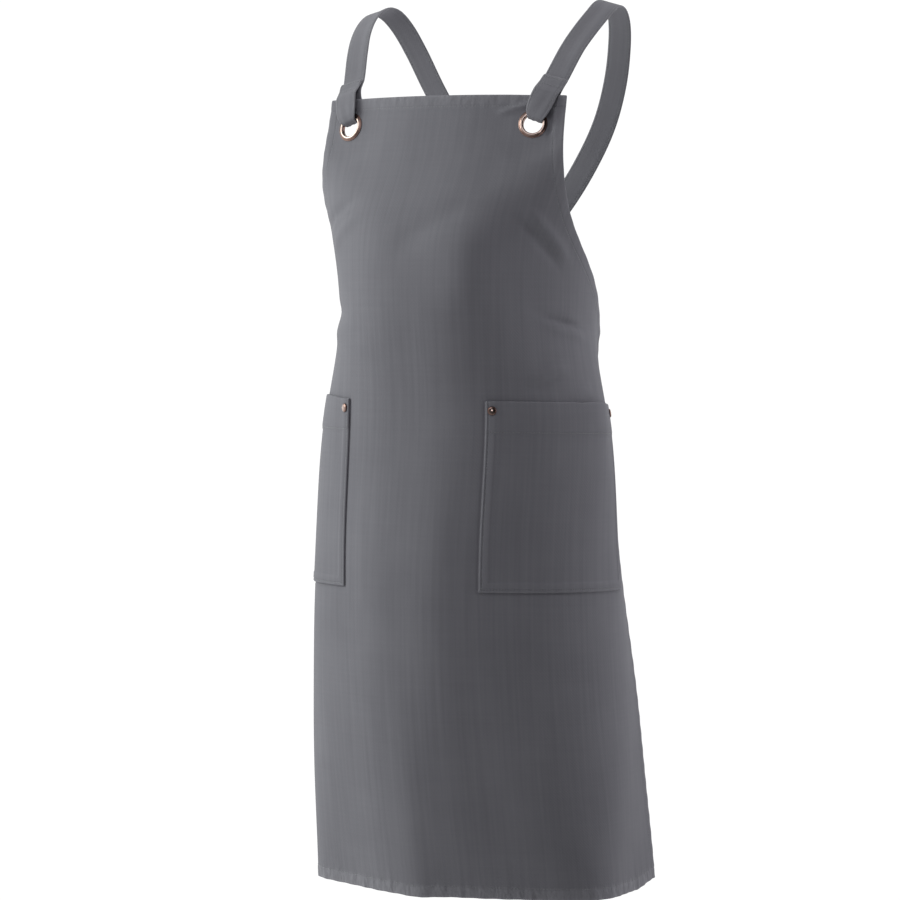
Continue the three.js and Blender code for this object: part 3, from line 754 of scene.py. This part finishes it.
# %% Pockets: shape
POCKET_CLOTH = 1.2
POCKET_SEAT = 0.35
POCKET_ROLL = 1.0
ALLOWANCE = 10
EDGE_LINE = 3
MOUTH_HEM, MOUTH_LINE = 33, 32
# The mouth's opening: how far, where it is widest, and how broad it is
GAPE, GAPE_AT, GAPE_SPAN = 4, 226, 34
# Relief: mouth hem, folded strip, both together, and the grooves of the two seams
HEM_RISE, STRIP_RISE, BOTH_RISE = 1.1, 0.6, 0.15
EDGE_GROOVE, MOUTH_GROOVE = 0.7, 0.6
# The pull at one mouth: how far, and how deep below the mouth it still shows
PULL, PULL_DEPTH = 3.5, 45
POCKET_EDGE = [0.9, 1.7, 2.4, 3, 3.6, 4.4, 8.6, 9.6, 10.4, 11.4, 13.5]
MOUTH_EDGE = [0.9, 1.8, 3, 5, 7.9, 12.1, 17, 22, 27, 30, 31.4, 32, 32.6, 33.4, 34.6, 37]


def pocket_gap(s, v):
    """Clear distance between the panel and the pocket."""
    a = np.abs(s)
    depth = (v - POCKET_TOP) / (POCKET_FOOT - POCKET_TOP)
    bulge = bell((a - GAPE_AT) / GAPE_SPAN)
    held = smooth((a - POCKET_IN - 12) / 40) * smooth((POCKET_OUT - 12 - a) / 40)
    return POCKET_SEAT + GAPE * bulge * held * np.clip(1 - depth, 0, 1) ** 2


across = np.concatenate(
    [
        POCKET_IN + np.array(POCKET_EDGE),
        np.linspace(POCKET_IN + 18, POCKET_OUT - 18, 40),
        POCKET_OUT - np.array(POCKET_EDGE[::-1]),
    ]
)
down = np.concatenate(
    [
        POCKET_TOP + np.array(MOUTH_EDGE),
        np.linspace(POCKET_TOP + 41, POCKET_FOOT - 18, 32),
        POCKET_FOOT - np.array(POCKET_EDGE[::-1]),
    ]
)
print("pocket grid:", len(down), "by", len(across))

# %% [markdown]
# Both pockets come from one cut. The wearer's right one is the mirror image, apart from a
# small pull at its mouth.


# %% Pockets: mesh
def from_seams(s, v):
    """Distance from the nearest of a pocket's sewn edges."""
    a = np.abs(s)
    return np.minimum(np.minimum(a - POCKET_IN, POCKET_OUT - a), POCKET_FOOT - v)


def pocket_rise(s, v):
    """Height of the pocket's outer face above the panel."""
    from_edge = from_seams(s, v)
    from_mouth = v - POCKET_TOP
    strip = 1 - smooth((from_edge - ALLOWANCE + 0.5) / 1.6)
    hem = 1 - smooth((from_mouth - MOUTH_HEM + 0.3) / 1.4)
    rise = POCKET_CLOTH + np.maximum(HEM_RISE * hem, STRIP_RISE * strip)
    rise += BOTH_RISE * hem * strip
    rise -= EDGE_GROOVE * bell((from_edge - EDGE_LINE) / 0.6)
    rise -= MOUTH_GROOVE * bell((from_mouth - MOUTH_LINE) / 0.8)
    rise -= 0.8 * (1 - smooth(from_edge / 1.7)) + 0.4 * (1 - smooth(from_mouth / 1.6))
    return rise + pocket_gap(s, v)


def pulled(s, v):
    """Places on the cloth. The mouth of the wearer's right pocket is pulled up a little."""
    a = np.abs(s)
    pull = smooth((a - POCKET_IN) / 65) * (1 - smooth((a - 200) / 60))
    return v - PULL * pull * (1 - smooth((v - POCKET_TOP) / PULL_DEPTH)) * (s < 0)


def make_pocket(name, hand):
    s = np.broadcast_to(hand * across[::hand], (len(down), len(across)))
    v = np.broadcast_to(down[:, None], s.shape)
    outer = offset(s, pulled(s, v), pocket_rise(s, v))
    inner = offset(s, pulled(s, v), pocket_gap(s, v))
    nearest = np.minimum(from_seams(s, v), v - POCKET_TOP)
    # Paler at the sewn edges and the mouth, partly from wear and partly as a painted
    # highlight on the rolled edge. The faint line 9 mm in is a painted highlight along the
    # folded strip's ridge.
    wear_and_painted_highlight = 0.35 * np.exp(-nearest / 1.4) + 0.12 * bell((nearest - 9) / 1.5)
    flat = np.stack([s, v], axis=-1)
    sheet = closed_sheet(outer, inner, flat, wear_and_painted_highlight, POCKET_ROLL, post_holes(s, v))
    piece = make_piece(f"{name}_cloth", *sheet, charcoal_canvas)
    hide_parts(name)
    return piece


pocket_left = make_pocket("pocket_left", 1)
pocket_right = make_pocket("pocket_right", -1)
print("pocket faces:", len(pocket_left.data.polygons))

# %% [markdown]
# ## Straps
# A strap is a strip of the same canvas, folded to 27 mm and stitched along both edges. It
# starts with a short tail in front of the bib, gathers as it dips through the eyelet, comes
# back up behind the bib under its own tail, and runs over the shoulder. At the back the two
# straps cross and each ends inside the opposite waist corner.

# %% Straps: stations
# The loop at the eyelet. up: towards the shoulder. out: in front of the cloth. half: half
# width. edge and mid: thickness at edge and centre. twist: turn about its own line, degrees.
LOOP = [
    (57, -9.4, 13.5, 2.2, 2.2, 8),
    (50, -5.7, 13.5, 2.2, 2.2, 7),
    (43, -1.0, 13.5, 2.2, 2.2, 4),
    (36, 3.4, 13.5, 2.2, 2.2, 1),
    (28, 4.9, 13.5, 2.2, 2.2, 0),
    (21, 5.5, 13.2, 2.2, 2.3, 0),
    (15, 5.7, 12.4, 2.0, 2.8, 0),
    (10.2, 5.0, 11.2, 1.6, 3.4, 0),
    (6.4, 3.1, 9.0, 1.2, 4.1, 0),
    (5.0, -0.4, 7.7, 1.2, 4.4, 0),
    (5.7, -4.2, 8.4, 1.2, 4.4, 0),
    (10, -7.4, 10.4, 1.6, 3.6, 0),
    (15, -8.2, 12.0, 1.9, 3.0, 0),
    (21, -7.8, 13.0, 2.1, 2.5, 0),
    (28, -6.6, 13.5, 2.2, 2.2, 0),
    (36, -5.4, 13.5, 2.2, 2.2, 1),
    (43, -5.9, 13.5, 2.2, 2.2, 4),
    (50, -8.8, 13.5, 2.2, 2.2, 7),
    (57, -12.3, 13.5, 2.2, 2.2, 8),
]
# The run over the wearer's left shoulder. x, y, z: its middle. nx, ny, nz: the way its
# outer face looks. layer: share of the offset that lets the two straps cross.
RUN = [
    (127, -77, -50, 0.16, -0.8, 0.57, 0),
    (133, -58, -30, 0.24, -0.66, 0.71, 0),
    (137, -36, -13, 0.28, -0.42, 0.86, 0),
    (137.5, -17, -2.4, 0.28, -0.2, 0.94, 0),
    (136.5, 0, 1.1, 0.28, 0, 0.96, 0),
    (134.5, 17, -2, 0.26, 0.22, 0.94, 0),
    (130.5, 36, -15, 0.22, 0.5, 0.84, 0),
    (123, 54, -40, 0.15, 0.74, 0.65, 0),
    (110, 72, -80, 0.08, 0.88, 0.46, 0),
    (90, 87, -125, 0.05, 0.95, 0.3, 0),
    (60, 98, -172, 0.02, 0.98, 0.2, 0.3),
    (28, 104, -213, 0, 0.99, 0.12, 1),
    (0, 105.5, -244, 0, 1, 0.05, 1),
    (-28, 103.5, -275, 0, 1, 0, 1),
    (-62, 93, -313, -0.3, 0.95, 0, 0.3),
]
STRAP_HALF = 13.5
STRAP_THICK = 2.2
CROSS_OFFSET = 1.8
STRAP_INSET = 4.3
# Where the far end lies on the inside of the panel's waist corner: s and v
STRAP_END = np.array([(349, 264), (331, 281), (313, 298)], float)

towards = np.array(RUN[0][:3]) - eyelet_centre
loop_up = unit(towards - eyelet_normal * (towards @ eyelet_normal))
loop_wide = unit(np.cross(loop_up, eyelet_normal))


def smooth_curve(points, cuts):
    """Centripetal curve through points: places and directions, some cuts to a span."""
    first, last = 2 * points[0] - points[1], 2 * points[-1] - points[-2]
    ends = np.vstack([first, points, last])
    t = np.arange(cuts)[:, None] / cuts
    places, runs = [], []
    for p0, p1, p2, p3 in zip(ends, ends[1:], ends[2:], ends[3:]):
        d0, d1, d2 = (np.linalg.norm(b - a) ** 0.5 for a, b in ((p0, p1), (p1, p2), (p2, p3)))
        m1 = d1 * ((p1 - p0) / d0 - (p2 - p0) / (d0 + d1) + (p2 - p1) / d1)
        m2 = d1 * ((p2 - p1) / d1 - (p3 - p1) / (d1 + d2) + (p3 - p2) / d2)
        c2, c3 = 3 * (p2 - p1) - 2 * m1 - m2, 2 * (p1 - p2) + m1 + m2
        places.append(p1 + m1 * t + c2 * t**2 + c3 * t**3)
        runs.append(m1 + 2 * c2 * t + 3 * c3 * t**2)
    places.append(points[-1:])
    runs.append(m2[None])
    return np.vstack(places), unit(np.vstack(runs))


def between(places, known, rows):
    """Rows of a table, read between its known places."""
    return np.stack([np.interp(places, known, column) for column in rows.T], axis=-1)


def lengths_along(line):
    """Distance along a line of points, from its start to each of them."""
    steps = np.linalg.norm(np.diff(line, axis=0), axis=1)
    return np.concatenate([[0], np.cumsum(steps)])


print("loop and run stations:", len(LOOP) + len(RUN) + len(STRAP_END))

# %% [markdown]
# The strap's cross-section is swept along that line. Its edges are round folds. A groove
# 2.7 mm inside each edge takes the stitching. Where the strap is squeezed through the
# eyelet, the spare width stands up in soft pleats. On its way up to the shoulder it is
# slightly hollow along the middle.

# %% Straps: sweep
STRAP_CUTS = 6
STRAP_LINE = 0.8
FACE_SHARES = np.array(
    [-0.985, -0.94, -0.87, -0.83, -0.8, -0.77, -0.7, -0.5, -0.25, 0]
    + [0.25, 0.5, 0.7, 0.77, 0.8, 0.83, 0.87, 0.94, 0.985]
)


def strap_line(hand):
    """Middle, direction, width direction and sizes of a strap at close stations."""
    loop, run = np.array(LOOP), np.array(RUN)
    points = [eyelet_centre + loop_up * up + eyelet_normal * out for up, out in loop[:, :2]]
    normals = unit(run[:, 3:6])
    points += list(run[:, :3] + normals * run[:, 6:] * hand * CROSS_OFFSET)
    points += list(offset(-STRAP_END[:, 0], STRAP_END[:, 1], -STRAP_INSET))
    normals = np.vstack([normals, outward(-STRAP_END[:, 0], STRAP_END[:, 1])])
    plain = np.tile([STRAP_HALF, STRAP_THICK, STRAP_THICK], (len(normals), 1))
    sizes = np.vstack([loop[:, 2:5], plain])

    middle, along = smooth_curve(np.array(points), STRAP_CUTS)
    twist = np.radians(loop[:, 5:])
    wide = np.zeros((len(points), 3))
    wide[: len(loop)] = loop_wide * np.cos(twist) + eyelet_normal * np.sin(twist)
    wide[len(loop) :] = unit(np.cross(along[::STRAP_CUTS][len(loop) :], normals))
    stations = np.arange(len(middle)) / STRAP_CUTS
    rows = np.arange(len(points))
    wide = between(stations, rows, wide)
    wide = unit(wide - along * np.sum(wide * along, axis=1, keepdims=True))
    return middle, along, wide, between(stations, rows, sizes)


def strap_faces(hand):
    """Points of both faces across the strap, station by station."""
    middle, along, wide, sizes = strap_line(hand)
    inside = np.cross(wide, along)
    half, edge, mid = (sizes[:, k : k + 1] for k in range(3))
    u = FACE_SHARES[None, :]
    round_off = 0.3 * edge * smooth((np.abs(u) - 0.9) / 0.1)
    squeezed = 1 - half / STRAP_HALF
    pleats = 0.9 * squeezed * np.sin(8 * u + 0.6) * (1 - u**2)
    press = 0.24 * bell((np.abs(u) - STRAP_LINE) / 0.035) * (1 - smooth(4 * squeezed))
    # Places along the strap, counted in stations of its table
    from_tail = (np.arange(len(middle)) / STRAP_CUTS)[:, None]
    turned_in = 0.7 * (1 - smooth((from_tail - 1.0) / 0.3))
    slack = smooth((from_tail - 2) / 3) * (1 - smooth((from_tail - 8) / 1.5))
    slack = 0.55 * slack * (1 - u**2) * (0.5 + 0.5 * np.sin(6.5 * u + 0.8 * from_tail))
    rounded = 0.75 * (1 - smooth(from_tail / 0.3))
    hollow = smooth((from_tail - 17.5) / 2) * (1 - smooth((from_tail - 21.5) / 2))
    hollow = 0.7 * hollow * bell((u + 0.15) / 0.4)
    low = -STRAP_THICK / 2 + round_off + press + pleats - turned_in + rounded - slack
    high = -STRAP_THICK / 2 + edge + (mid - edge) * (1 - u**2) - round_off - press + pleats
    high = high - rounded - hollow
    centre = middle[:, None] + wide[:, None] * (u * half)[..., None]
    lower = centre + inside[:, None] * low[..., None]
    upper = centre + inside[:, None] * high[..., None]
    core = middle + inside * (edge - STRAP_THICK) / 2
    tips = np.stack([core - wide * half, core + wide * half], axis=1)
    return lower, upper, tips, inside


print("points across a strap's face:", len(FACE_SHARES))

# %% [markdown]
# The wearer's left strap lies outside at the crossing. The right one is its mirror image,
# except that it lies inside there.


# %% Straps: mesh
def make_strap(name, hand):
    lower, upper, tips, _ = strap_faces(hand)
    ring = np.concatenate([tips[:, :1], lower, tips[:, 1:], upper[:, ::-1]], axis=1)
    count, size = ring.shape[:2]
    a = np.arange(count * size).reshape(count, size)
    b = np.roll(a, -1, axis=1)
    faces = np.stack([a[:-1], a[1:], b[1:], b[:-1]], axis=-1).reshape(-1, 4).tolist()
    faces += [a[0].tolist(), a[-1, ::-1].tolist()]
    run = lengths_along(ring.mean(axis=1))
    u = np.concatenate([[-1], FACE_SHARES, [1], FACE_SHARES[::-1]]) * STRAP_HALF
    flat = np.stack(np.broadcast_arrays(u[None, :], run[:, None]), axis=-1).reshape(-1, 2)
    # Paler along both folded edges from wear, and at the tail's cut end as a painted
    # highlight where that end catches the light.
    wear_and_painted_highlight = 0.6 * np.exp(-(STRAP_HALF - np.abs(u)) / 1.1) + 0.5 * np.exp(-run[:, None] / 1.5)
    points = ring.reshape(-1, 3).copy()
    if hand < 0:
        points[:, 0] *= -1
        faces = [face[::-1] for face in faces]
    piece = make_piece(f"{name}_cloth", points, faces, flat, wear_and_painted_highlight.ravel(), strap_canvas_painted_lighter)
    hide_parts(name)
    return piece, run[-1]


strap_left, strap_length = make_strap("strap_left", 1)
strap_right, _ = make_strap("strap_right", -1)
print("strap length, mm:", round(strap_length))

# %% [markdown]
# ## Stitching
# A machine stitch shows as a row of short grains, each a little slanted and sunk into the
# cloth at its ends. Every seam here is a line of places on the cloth, and one helper lays
# the grains along it.


# %% Stitch rows
STITCH_PITCH = 3.1
STITCH_SLANT = 0.1
# A grain: a thick middle with six sides, and two tips that sink into the cloth
SIDES = 6
TIP, TIP_SINK = 1.3, -0.25
THICK, THICK_WIDE, THICK_HIGH = 0.75, 0.36, 0.3

grain = [(-TIP, 0, TIP_SINK)]
for end in (-THICK, THICK):
    for a in np.radians(np.arange(SIDES) * 360 / SIDES):
        grain.append((end, THICK_WIDE * math.cos(a), THICK_HIGH * math.sin(a)))
grain = np.array(grain + [(TIP, 0, TIP_SINK)])
grain_tips, grain_sides, grain_ends = [], [], []
for k in range(SIDES):
    a, b = 1 + k, 1 + (k + 1) % SIDES
    grain_tips.append([0, b, a])
    grain_sides.append([a, b, b + SIDES, a + SIDES])
    grain_ends.append([a + SIDES, b + SIDES, 2 * SIDES + 1])
grain_faces = grain_tips + grain_sides + grain_ends


def stitch_row(line, normals):
    """Grains of thread along a line of points, standing on the cloth's normals."""
    run = lengths_along(line)
    count = max(2, round(run[-1] / STITCH_PITCH))
    places = (np.arange(count) + 0.5) * run[-1] / count
    centre, up = between(places, run, line), unit(between(places, run, normals))
    ahead, behind = (between(places + step, run, line) for step in (0.8, -0.8))
    along = unit(ahead - behind)
    along = unit(along + STITCH_SLANT * unit(np.cross(up, along)))
    frame_of = np.stack([along, np.cross(up, along), up], axis=1)
    return centre[:, None] + grain[None] @ frame_of


def make_stitching(name, rows):
    grains = np.concatenate(rows)
    faces = [
        [n + len(grain) * k for n in face] for k in range(len(grains)) for face in grain_faces
    ]
    flat = np.tile(grain[:, :2], (len(grains), 1))
    wear_and_painted_highlight = np.zeros(len(flat))
    piece = make_piece(name, grains.reshape(-1, 3), faces, flat, wear_and_painted_highlight, grey_thread)
    return piece


def sew(s, v, out):
    """A stitch row through places on the cloth, at a height above the panel."""
    return stitch_row(offset(s, v, out), outward(s, v))


def straight(start, stop, count):
    """Places along a straight seam: s and v."""
    start, stop = np.array(start), np.array(stop)
    return (start + (stop - start) * np.linspace(0, 1, count)[:, None]).T


print("grain triangles:", sum(len(face) - 2 for face in grain_faces))

# %% [markdown]
# The panel's hems are sewn all round. A box of stitches at each waist corner holds the end
# of a strap.

# %% Panel stitching
PANEL_SINK = -0.12
# Strap ends: a box 21 mm wide along the strap's slanting end, on the panel's face
BOX = [(4, -10.5), (4, 10.5), (44, 10.5), (44, -10.5), (4, -10.5)]
BOX_RISE = 0.08

line_v = np.arange(TOP_LINE, LENGTH - FOOT_LINE + 1, 3.0)
line_s = half_width(line_v) - edge_reach(SIDE_LINE, line_v)
line_v = lifted(line_s, line_v)
panel_rows = [sew(hand * line_s, line_v, PANEL_SINK) for hand in (1, -1)]
for level in (TOP_LINE, LENGTH - FOOT_LINE):
    reach = half_width(level) - SIDE_LINE
    line_s = np.linspace(-reach, reach, int(reach))
    line_v = lifted(line_s, np.full(len(line_s), level))
    panel_rows.append(sew(line_s, line_v, PANEL_SINK))

end_run = unit(STRAP_END[2] - STRAP_END[0])
end_wide = np.array([end_run[1], -end_run[0]])
box = [STRAP_END[0] + end_run * a + end_wide * b for a, b in BOX]
for hand in (1, -1):
    for start, stop in zip(box, box[1:]):
        s, v = straight(start, stop, 12)
        panel_rows.append(sew(hand * s, v, BOX_RISE))
panel_stitching = make_stitching("panel_stitching", panel_rows)
print("panel stitches:", sum(len(row) for row in panel_rows))

# %% [markdown]
# A pocket has one line of stitching close to its sides and foot, and one along the deep hem
# of its mouth. The straps have a line along each edge, and two short lines across the tail
# that hold the loop closed.


# %% Pocket and strap stitching
POCKET_STITCH_RISE = 0.1
STRAP_STITCH_RISE = 0.06
# Stations between which a strap is gathered, where its edge stitching is left out
GATHERED = 5, 15


def pocket_stitching(name, hand):
    inside, outside = POCKET_IN + EDGE_LINE, POCKET_OUT - EDGE_LINE
    top, foot = POCKET_TOP + 2, POCKET_FOOT - EDGE_LINE
    seams = [
        ((inside, top), (inside, foot)),
        ((inside, foot), (outside, foot)),
        ((outside, foot), (outside, top)),
        ((inside, POCKET_TOP + MOUTH_LINE), (outside, POCKET_TOP + MOUTH_LINE)),
    ]
    rows = []
    for start, stop in seams:
        s, v = straight(start, stop, 70)
        s = hand * s
        rows.append(sew(s, pulled(s, v), pocket_rise(s, v) + POCKET_STITCH_RISE))
    return make_stitching(name, rows)


def strap_stitching(name, hand):
    lower, upper, _, inside = strap_faces(hand)
    rows, mirror = [], np.array([hand, 1, 1])
    first, last = (station * STRAP_CUTS for station in GATHERED)
    for place in np.flatnonzero(np.isclose(np.abs(FACE_SHARES), STRAP_LINE)):
        for face, way in ((lower, -1), (upper, 1)):
            normals = inside * way
            line = face[:, place] + normals * STRAP_STITCH_RISE
            for part in (slice(1, first), slice(last, len(line) - 1)):
                rows.append(stitch_row(line[part] * mirror, normals[part] * mirror))
    for station in (3, STRAP_CUTS + 5):
        line = lower[station, 4:-4] - inside[station] * STRAP_STITCH_RISE
        normals = np.tile(-inside[station], (len(line), 1))
        rows.append(stitch_row(line * mirror, normals * mirror))
    return make_stitching(name, rows)


pocket_left_stitching = pocket_stitching("pocket_left_stitching", 1)
pocket_right_stitching = pocket_stitching("pocket_right_stitching", -1)
strap_left_stitching = strap_stitching("strap_left_stitching", 1)
strap_right_stitching = strap_stitching("strap_right_stitching", -1)
print("strap stitch faces:", len(strap_left_stitching.data.polygons))

# %% [markdown]
# ## Eyelets and rivets
# Both are turned shapes: a profile swung round an axis. An eyelet has a flat outer flange
# and a rolled inner rim in front, a barrel through the cloth and a washer behind. A rivet
# has a low domed cap in front, a post and a small plate behind. The last number in each
# row says how bright that height is rubbed.

# %% Turned fittings
# r: distance from the axis. h: height above the cloth's face. rub: 0 dark to 1 bright.
EYELET = [
    (11.0, 0.25, 0.1),
    (15.0, 0.25, 0.2),
    (15.35, 0.42, 0.4),
    (15.3, 0.7, 0.5),
    (14.9, 0.95, 0.4),
    (14.3, 1.1, 0.25),
    (13.8, 1.35, 0.25),
    (13.2, 1.75, 0.55),
    (12.6, 2.05, 0.85),
    (12.0, 2.2, 1.0),
    (11.4, 2.15, 1.0),
    (10.8, 1.85, 0.9),
    (10.4, 1.4, 0.7),
    (10.1, 0.8, 0.45),
    (10.0, 0.0, 0.25),
    (10.0, -2.0, 0.1),
    (10.3, -2.4, 0.3),
    (10.9, -2.55, 0.5),
    (13.6, -2.4, 0.4),
    (14.1, -2.15, 0.6),
    (14.15, -1.85, 0.4),
    (13.9, -1.6, 0.2),
    (11.0, -1.6, 0.1),
]
RIVET = [
    (0, -5.3, 0.6),
    (2.6, -5.25, 0.5),
    (3.7, -5.1, 0.6),
    (4.0, -4.8, 0.5),
    (3.8, -4.45, 0.2),
    (1.5, -4.4, 0.1),
    (1.5, 0, 0.1),
    (4.3, 0.02, 0.0),
    (4.58, 0.25, 0.05),
    (4.6, 0.5, 0.1),
    (4.4, 0.85, 0.15),
    (4.0, 1.15, 0.25),
    (3.4, 1.42, 0.4),
    (2.7, 1.62, 0.6),
    (1.9, 1.78, 0.75),
    (1.0, 1.87, 0.85),
    (0, 1.9, 0.85),
]


def make_turned(name, profile, rounds, centre, normal):
    """A profile swung round an axis through centre along normal."""
    r, h, rub_and_painted_highlight = np.array(profile).T
    aside = unit(np.cross(normal, [0, 0, 1]))
    over = np.cross(normal, aside)
    turns = 2 * math.pi * np.arange(rounds) / rounds
    spoke = np.cos(turns)[:, None] * aside + np.sin(turns)[:, None] * over
    points = centre + spoke[:, None] * r[None, :, None] + normal * h[None, :, None]
    size = len(profile)
    a = np.arange(rounds * size).reshape(rounds, size)
    b, closed = np.roll(a, -1, axis=0), r[0] > 0
    if closed:
        rows = np.stack([a, b, np.roll(b, -1, axis=1), np.roll(a, -1, axis=1)], axis=-1)
    else:
        rows = np.stack([a[:, :-1], b[:, :-1], b[:, 1:], a[:, 1:]], axis=-1)
    flat = np.stack(np.broadcast_arrays(turns[:, None] * 10, h[None, :]), axis=-1)
    faces = rows.reshape(-1, 4).tolist()
    wear_and_painted_highlight = np.tile(rub_and_painted_highlight, rounds)
    points, flat = points.reshape(-1, 3), flat.reshape(-1, 2)
    piece = make_piece(f"{name}_metal", points, faces, flat, wear_and_painted_highlight, antique_copper)
    if not closed:
        merge_axis(piece.data)
    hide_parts(name)
    return piece


def merge_axis(mesh):
    """Join the points that lie on a turned shape's axis."""
    work = bmesh.new()
    work.from_mesh(mesh)
    bmesh.ops.remove_doubles(work, verts=work.verts, dist=1e-6)
    work.to_mesh(mesh)
    work.free()


print("profile points:", len(EYELET), "for an eyelet,", len(RIVET), "for a rivet")

# %% [markdown]
# The eyelets stand on the flat places of the bib. The rivets go through the hem of each
# pocket's mouth, 6.5 mm from its side and 10 mm from its top.

# %% Place the fittings
MIRROR = np.array([-1, 1, 1])
SEAT = 0.05
EYELET_ROUNDS, RIVET_ROUNDS = 96, 48
rivet_v = np.array([RIVET_V], float)

ring = EYELET, EYELET_ROUNDS
make_turned("eyelet_left", *ring, eyelet_centre, eyelet_normal)
make_turned("eyelet_right", *ring, eyelet_centre * MIRROR, eyelet_normal * MIRROR)
for word, hand in (("left", 1), ("right", -1)):
    for end, s in zip(("inner", "outer"), RIVET_S):
        spot = np.array([hand * s], float)
        seat = offset(spot, rivet_v, pocket_rise(spot, rivet_v) + SEAT)[0]
        axis = outward(spot, rivet_v)[0]
        make_turned(f"rivet_{word}_{end}", RIVET, RIVET_ROUNDS, seat, axis)

# %% [markdown]
# ## The cloth's facts
# A cloth keeps its area however it is draped.

# %% [markdown]
# ## Stage and light
# The apron hangs over a round pale floor, as high as it is worn.

# %% Floor
FLOOR_Z = -1450
FLOOR_RADIUS = 650
FLOOR_SIDES = 96

paper, tree, shader = finish_named("white_floor_paper")
place = add(tree, "ShaderNodeTexCoord").outputs["Object"]
fibre = add(tree, "ShaderNodeTexNoise", {"Vector": place, "Scale": 60, "Detail": 3})
tone = {"Factor": fibre, "A": linear("DEDEDE"), "B": linear("E6E6E6")}
tone = add(tree, "ShaderNodeMix", tone, data_type="RGBA")
join(tree, shader, {"Base Color": tone, "Roughness": 0.9})

turns = 2 * math.pi * np.arange(FLOOR_SIDES) / FLOOR_SIDES
ring = np.stack([np.cos(turns), np.sin(turns), 0 * turns], axis=-1) * FLOOR_RADIUS
floor_mesh = bpy.data.meshes.new("floor")
ring = ((ring + [0, 0, FLOOR_Z]) * MM).tolist()
floor_mesh.from_pydata(ring, [], [list(range(FLOOR_SIDES))])
floor_mesh.materials.append(paper)
floor = bpy.data.objects.new("floor", floor_mesh)
bpy.context.collection.objects.link(floor)
print("floor at z, mm:", FLOOR_Z)

# %% [markdown]
# Broad lights stand at the left front, high in front and at the right rear. They are close
# enough to fade towards the hem, as the light in the photograph does. One above and behind
# reaches the tops of the straps, and a small one beside the viewer gives the copper its
# highlights and fills in a little.

# %% Lights
# name, place and aim in metres, width and height in metres, power in watts, colour
LIGHTS = [
    ("left_front", (-1.7, -1.0, 0.5), (0, -0.1, -0.4), (1.2, 1.2), 32.5, "F8FFF4"),
    ("high_front", (0.3, -1.6, 1.0), (0, -0.1, -0.3), (1.4, 1.4), 12.3, "FFFFFF"),
    ("right_rear", (1.6, 1.0, -0.1), (0, 0, -0.5), (1.0, 1.6), 21, "FFFFFF"),
    ("beside_viewer", (1.5, -2.2, -0.1), (0, -0.1, -0.4), (0.35, 0.35), 3.5, "FFFFFF"),
    ("overhead", (0.2, 0.7, 1.2), (0, 0, 0), (0.8, 0.8), 7.5, "FFFFFF"),
]
for name, spot, aim, size, power, colour in LIGHTS:
    lamp = bpy.data.lights.new(name, "AREA")
    lamp.shape, lamp.size, lamp.size_y, lamp.energy = "RECTANGLE", *size, power
    lamp.color = linear(colour)[:3]
    light = bpy.data.objects.new(name, lamp)
    light.location = spot
    light.rotation_euler = (Vector(aim) - Vector(spot)).to_track_quat("-Z", "Y").to_euler()
    light.visible_camera = False
    bpy.context.collection.objects.link(light)
print("lights, W:", {row[0]: row[4] for row in LIGHTS})

# %% [markdown]
# The room glows softly from the viewer's far left and is dark towards the front right. The
# glow is nothing where the way to the bright side is below ROOM_DARK, then it rises to
# ROOM_GLOW straight towards that side. Seen directly the room is plain white.

# %% Surroundings
BRIGHT_SIDE = (-0.742, 0.567, -0.36)
ROOM_DARK, ROOM_GLOW = -0.864, 2.3

world = bpy.data.worlds.new("white_room")
world.use_nodes = True
bpy.context.scene.world = world
tree = world.node_tree
tree.nodes.clear()
way = add(tree, "ShaderNodeTexCoord").outputs["Generated"]
toward = add(tree, "ShaderNodeVectorMath", {0: way, 1: BRIGHT_SIDE}, operation="DOT_PRODUCT")
glow = {"Value": toward, "From Min": ROOM_DARK, "To Max": ROOM_GLOW}
glow = add(tree, "ShaderNodeMapRange", glow)
room = add(tree, "ShaderNodeBackground", {"Color": linear("FDFFFB"), "Strength": glow})
backdrop = add(tree, "ShaderNodeBackground", {"Color": linear("FFFFFF"), "Strength": 1.05})
seen = add(tree, "ShaderNodeLightPath").outputs["Is Camera Ray"]
mixed = add(tree, "ShaderNodeMixShader", {0: seen, 1: room, 2: backdrop})
add(tree, "ShaderNodeOutputWorld", {"Surface": mixed})
bpy.context.scene.view_settings.view_transform = "Standard"
print("room glow up to", ROOM_GLOW)
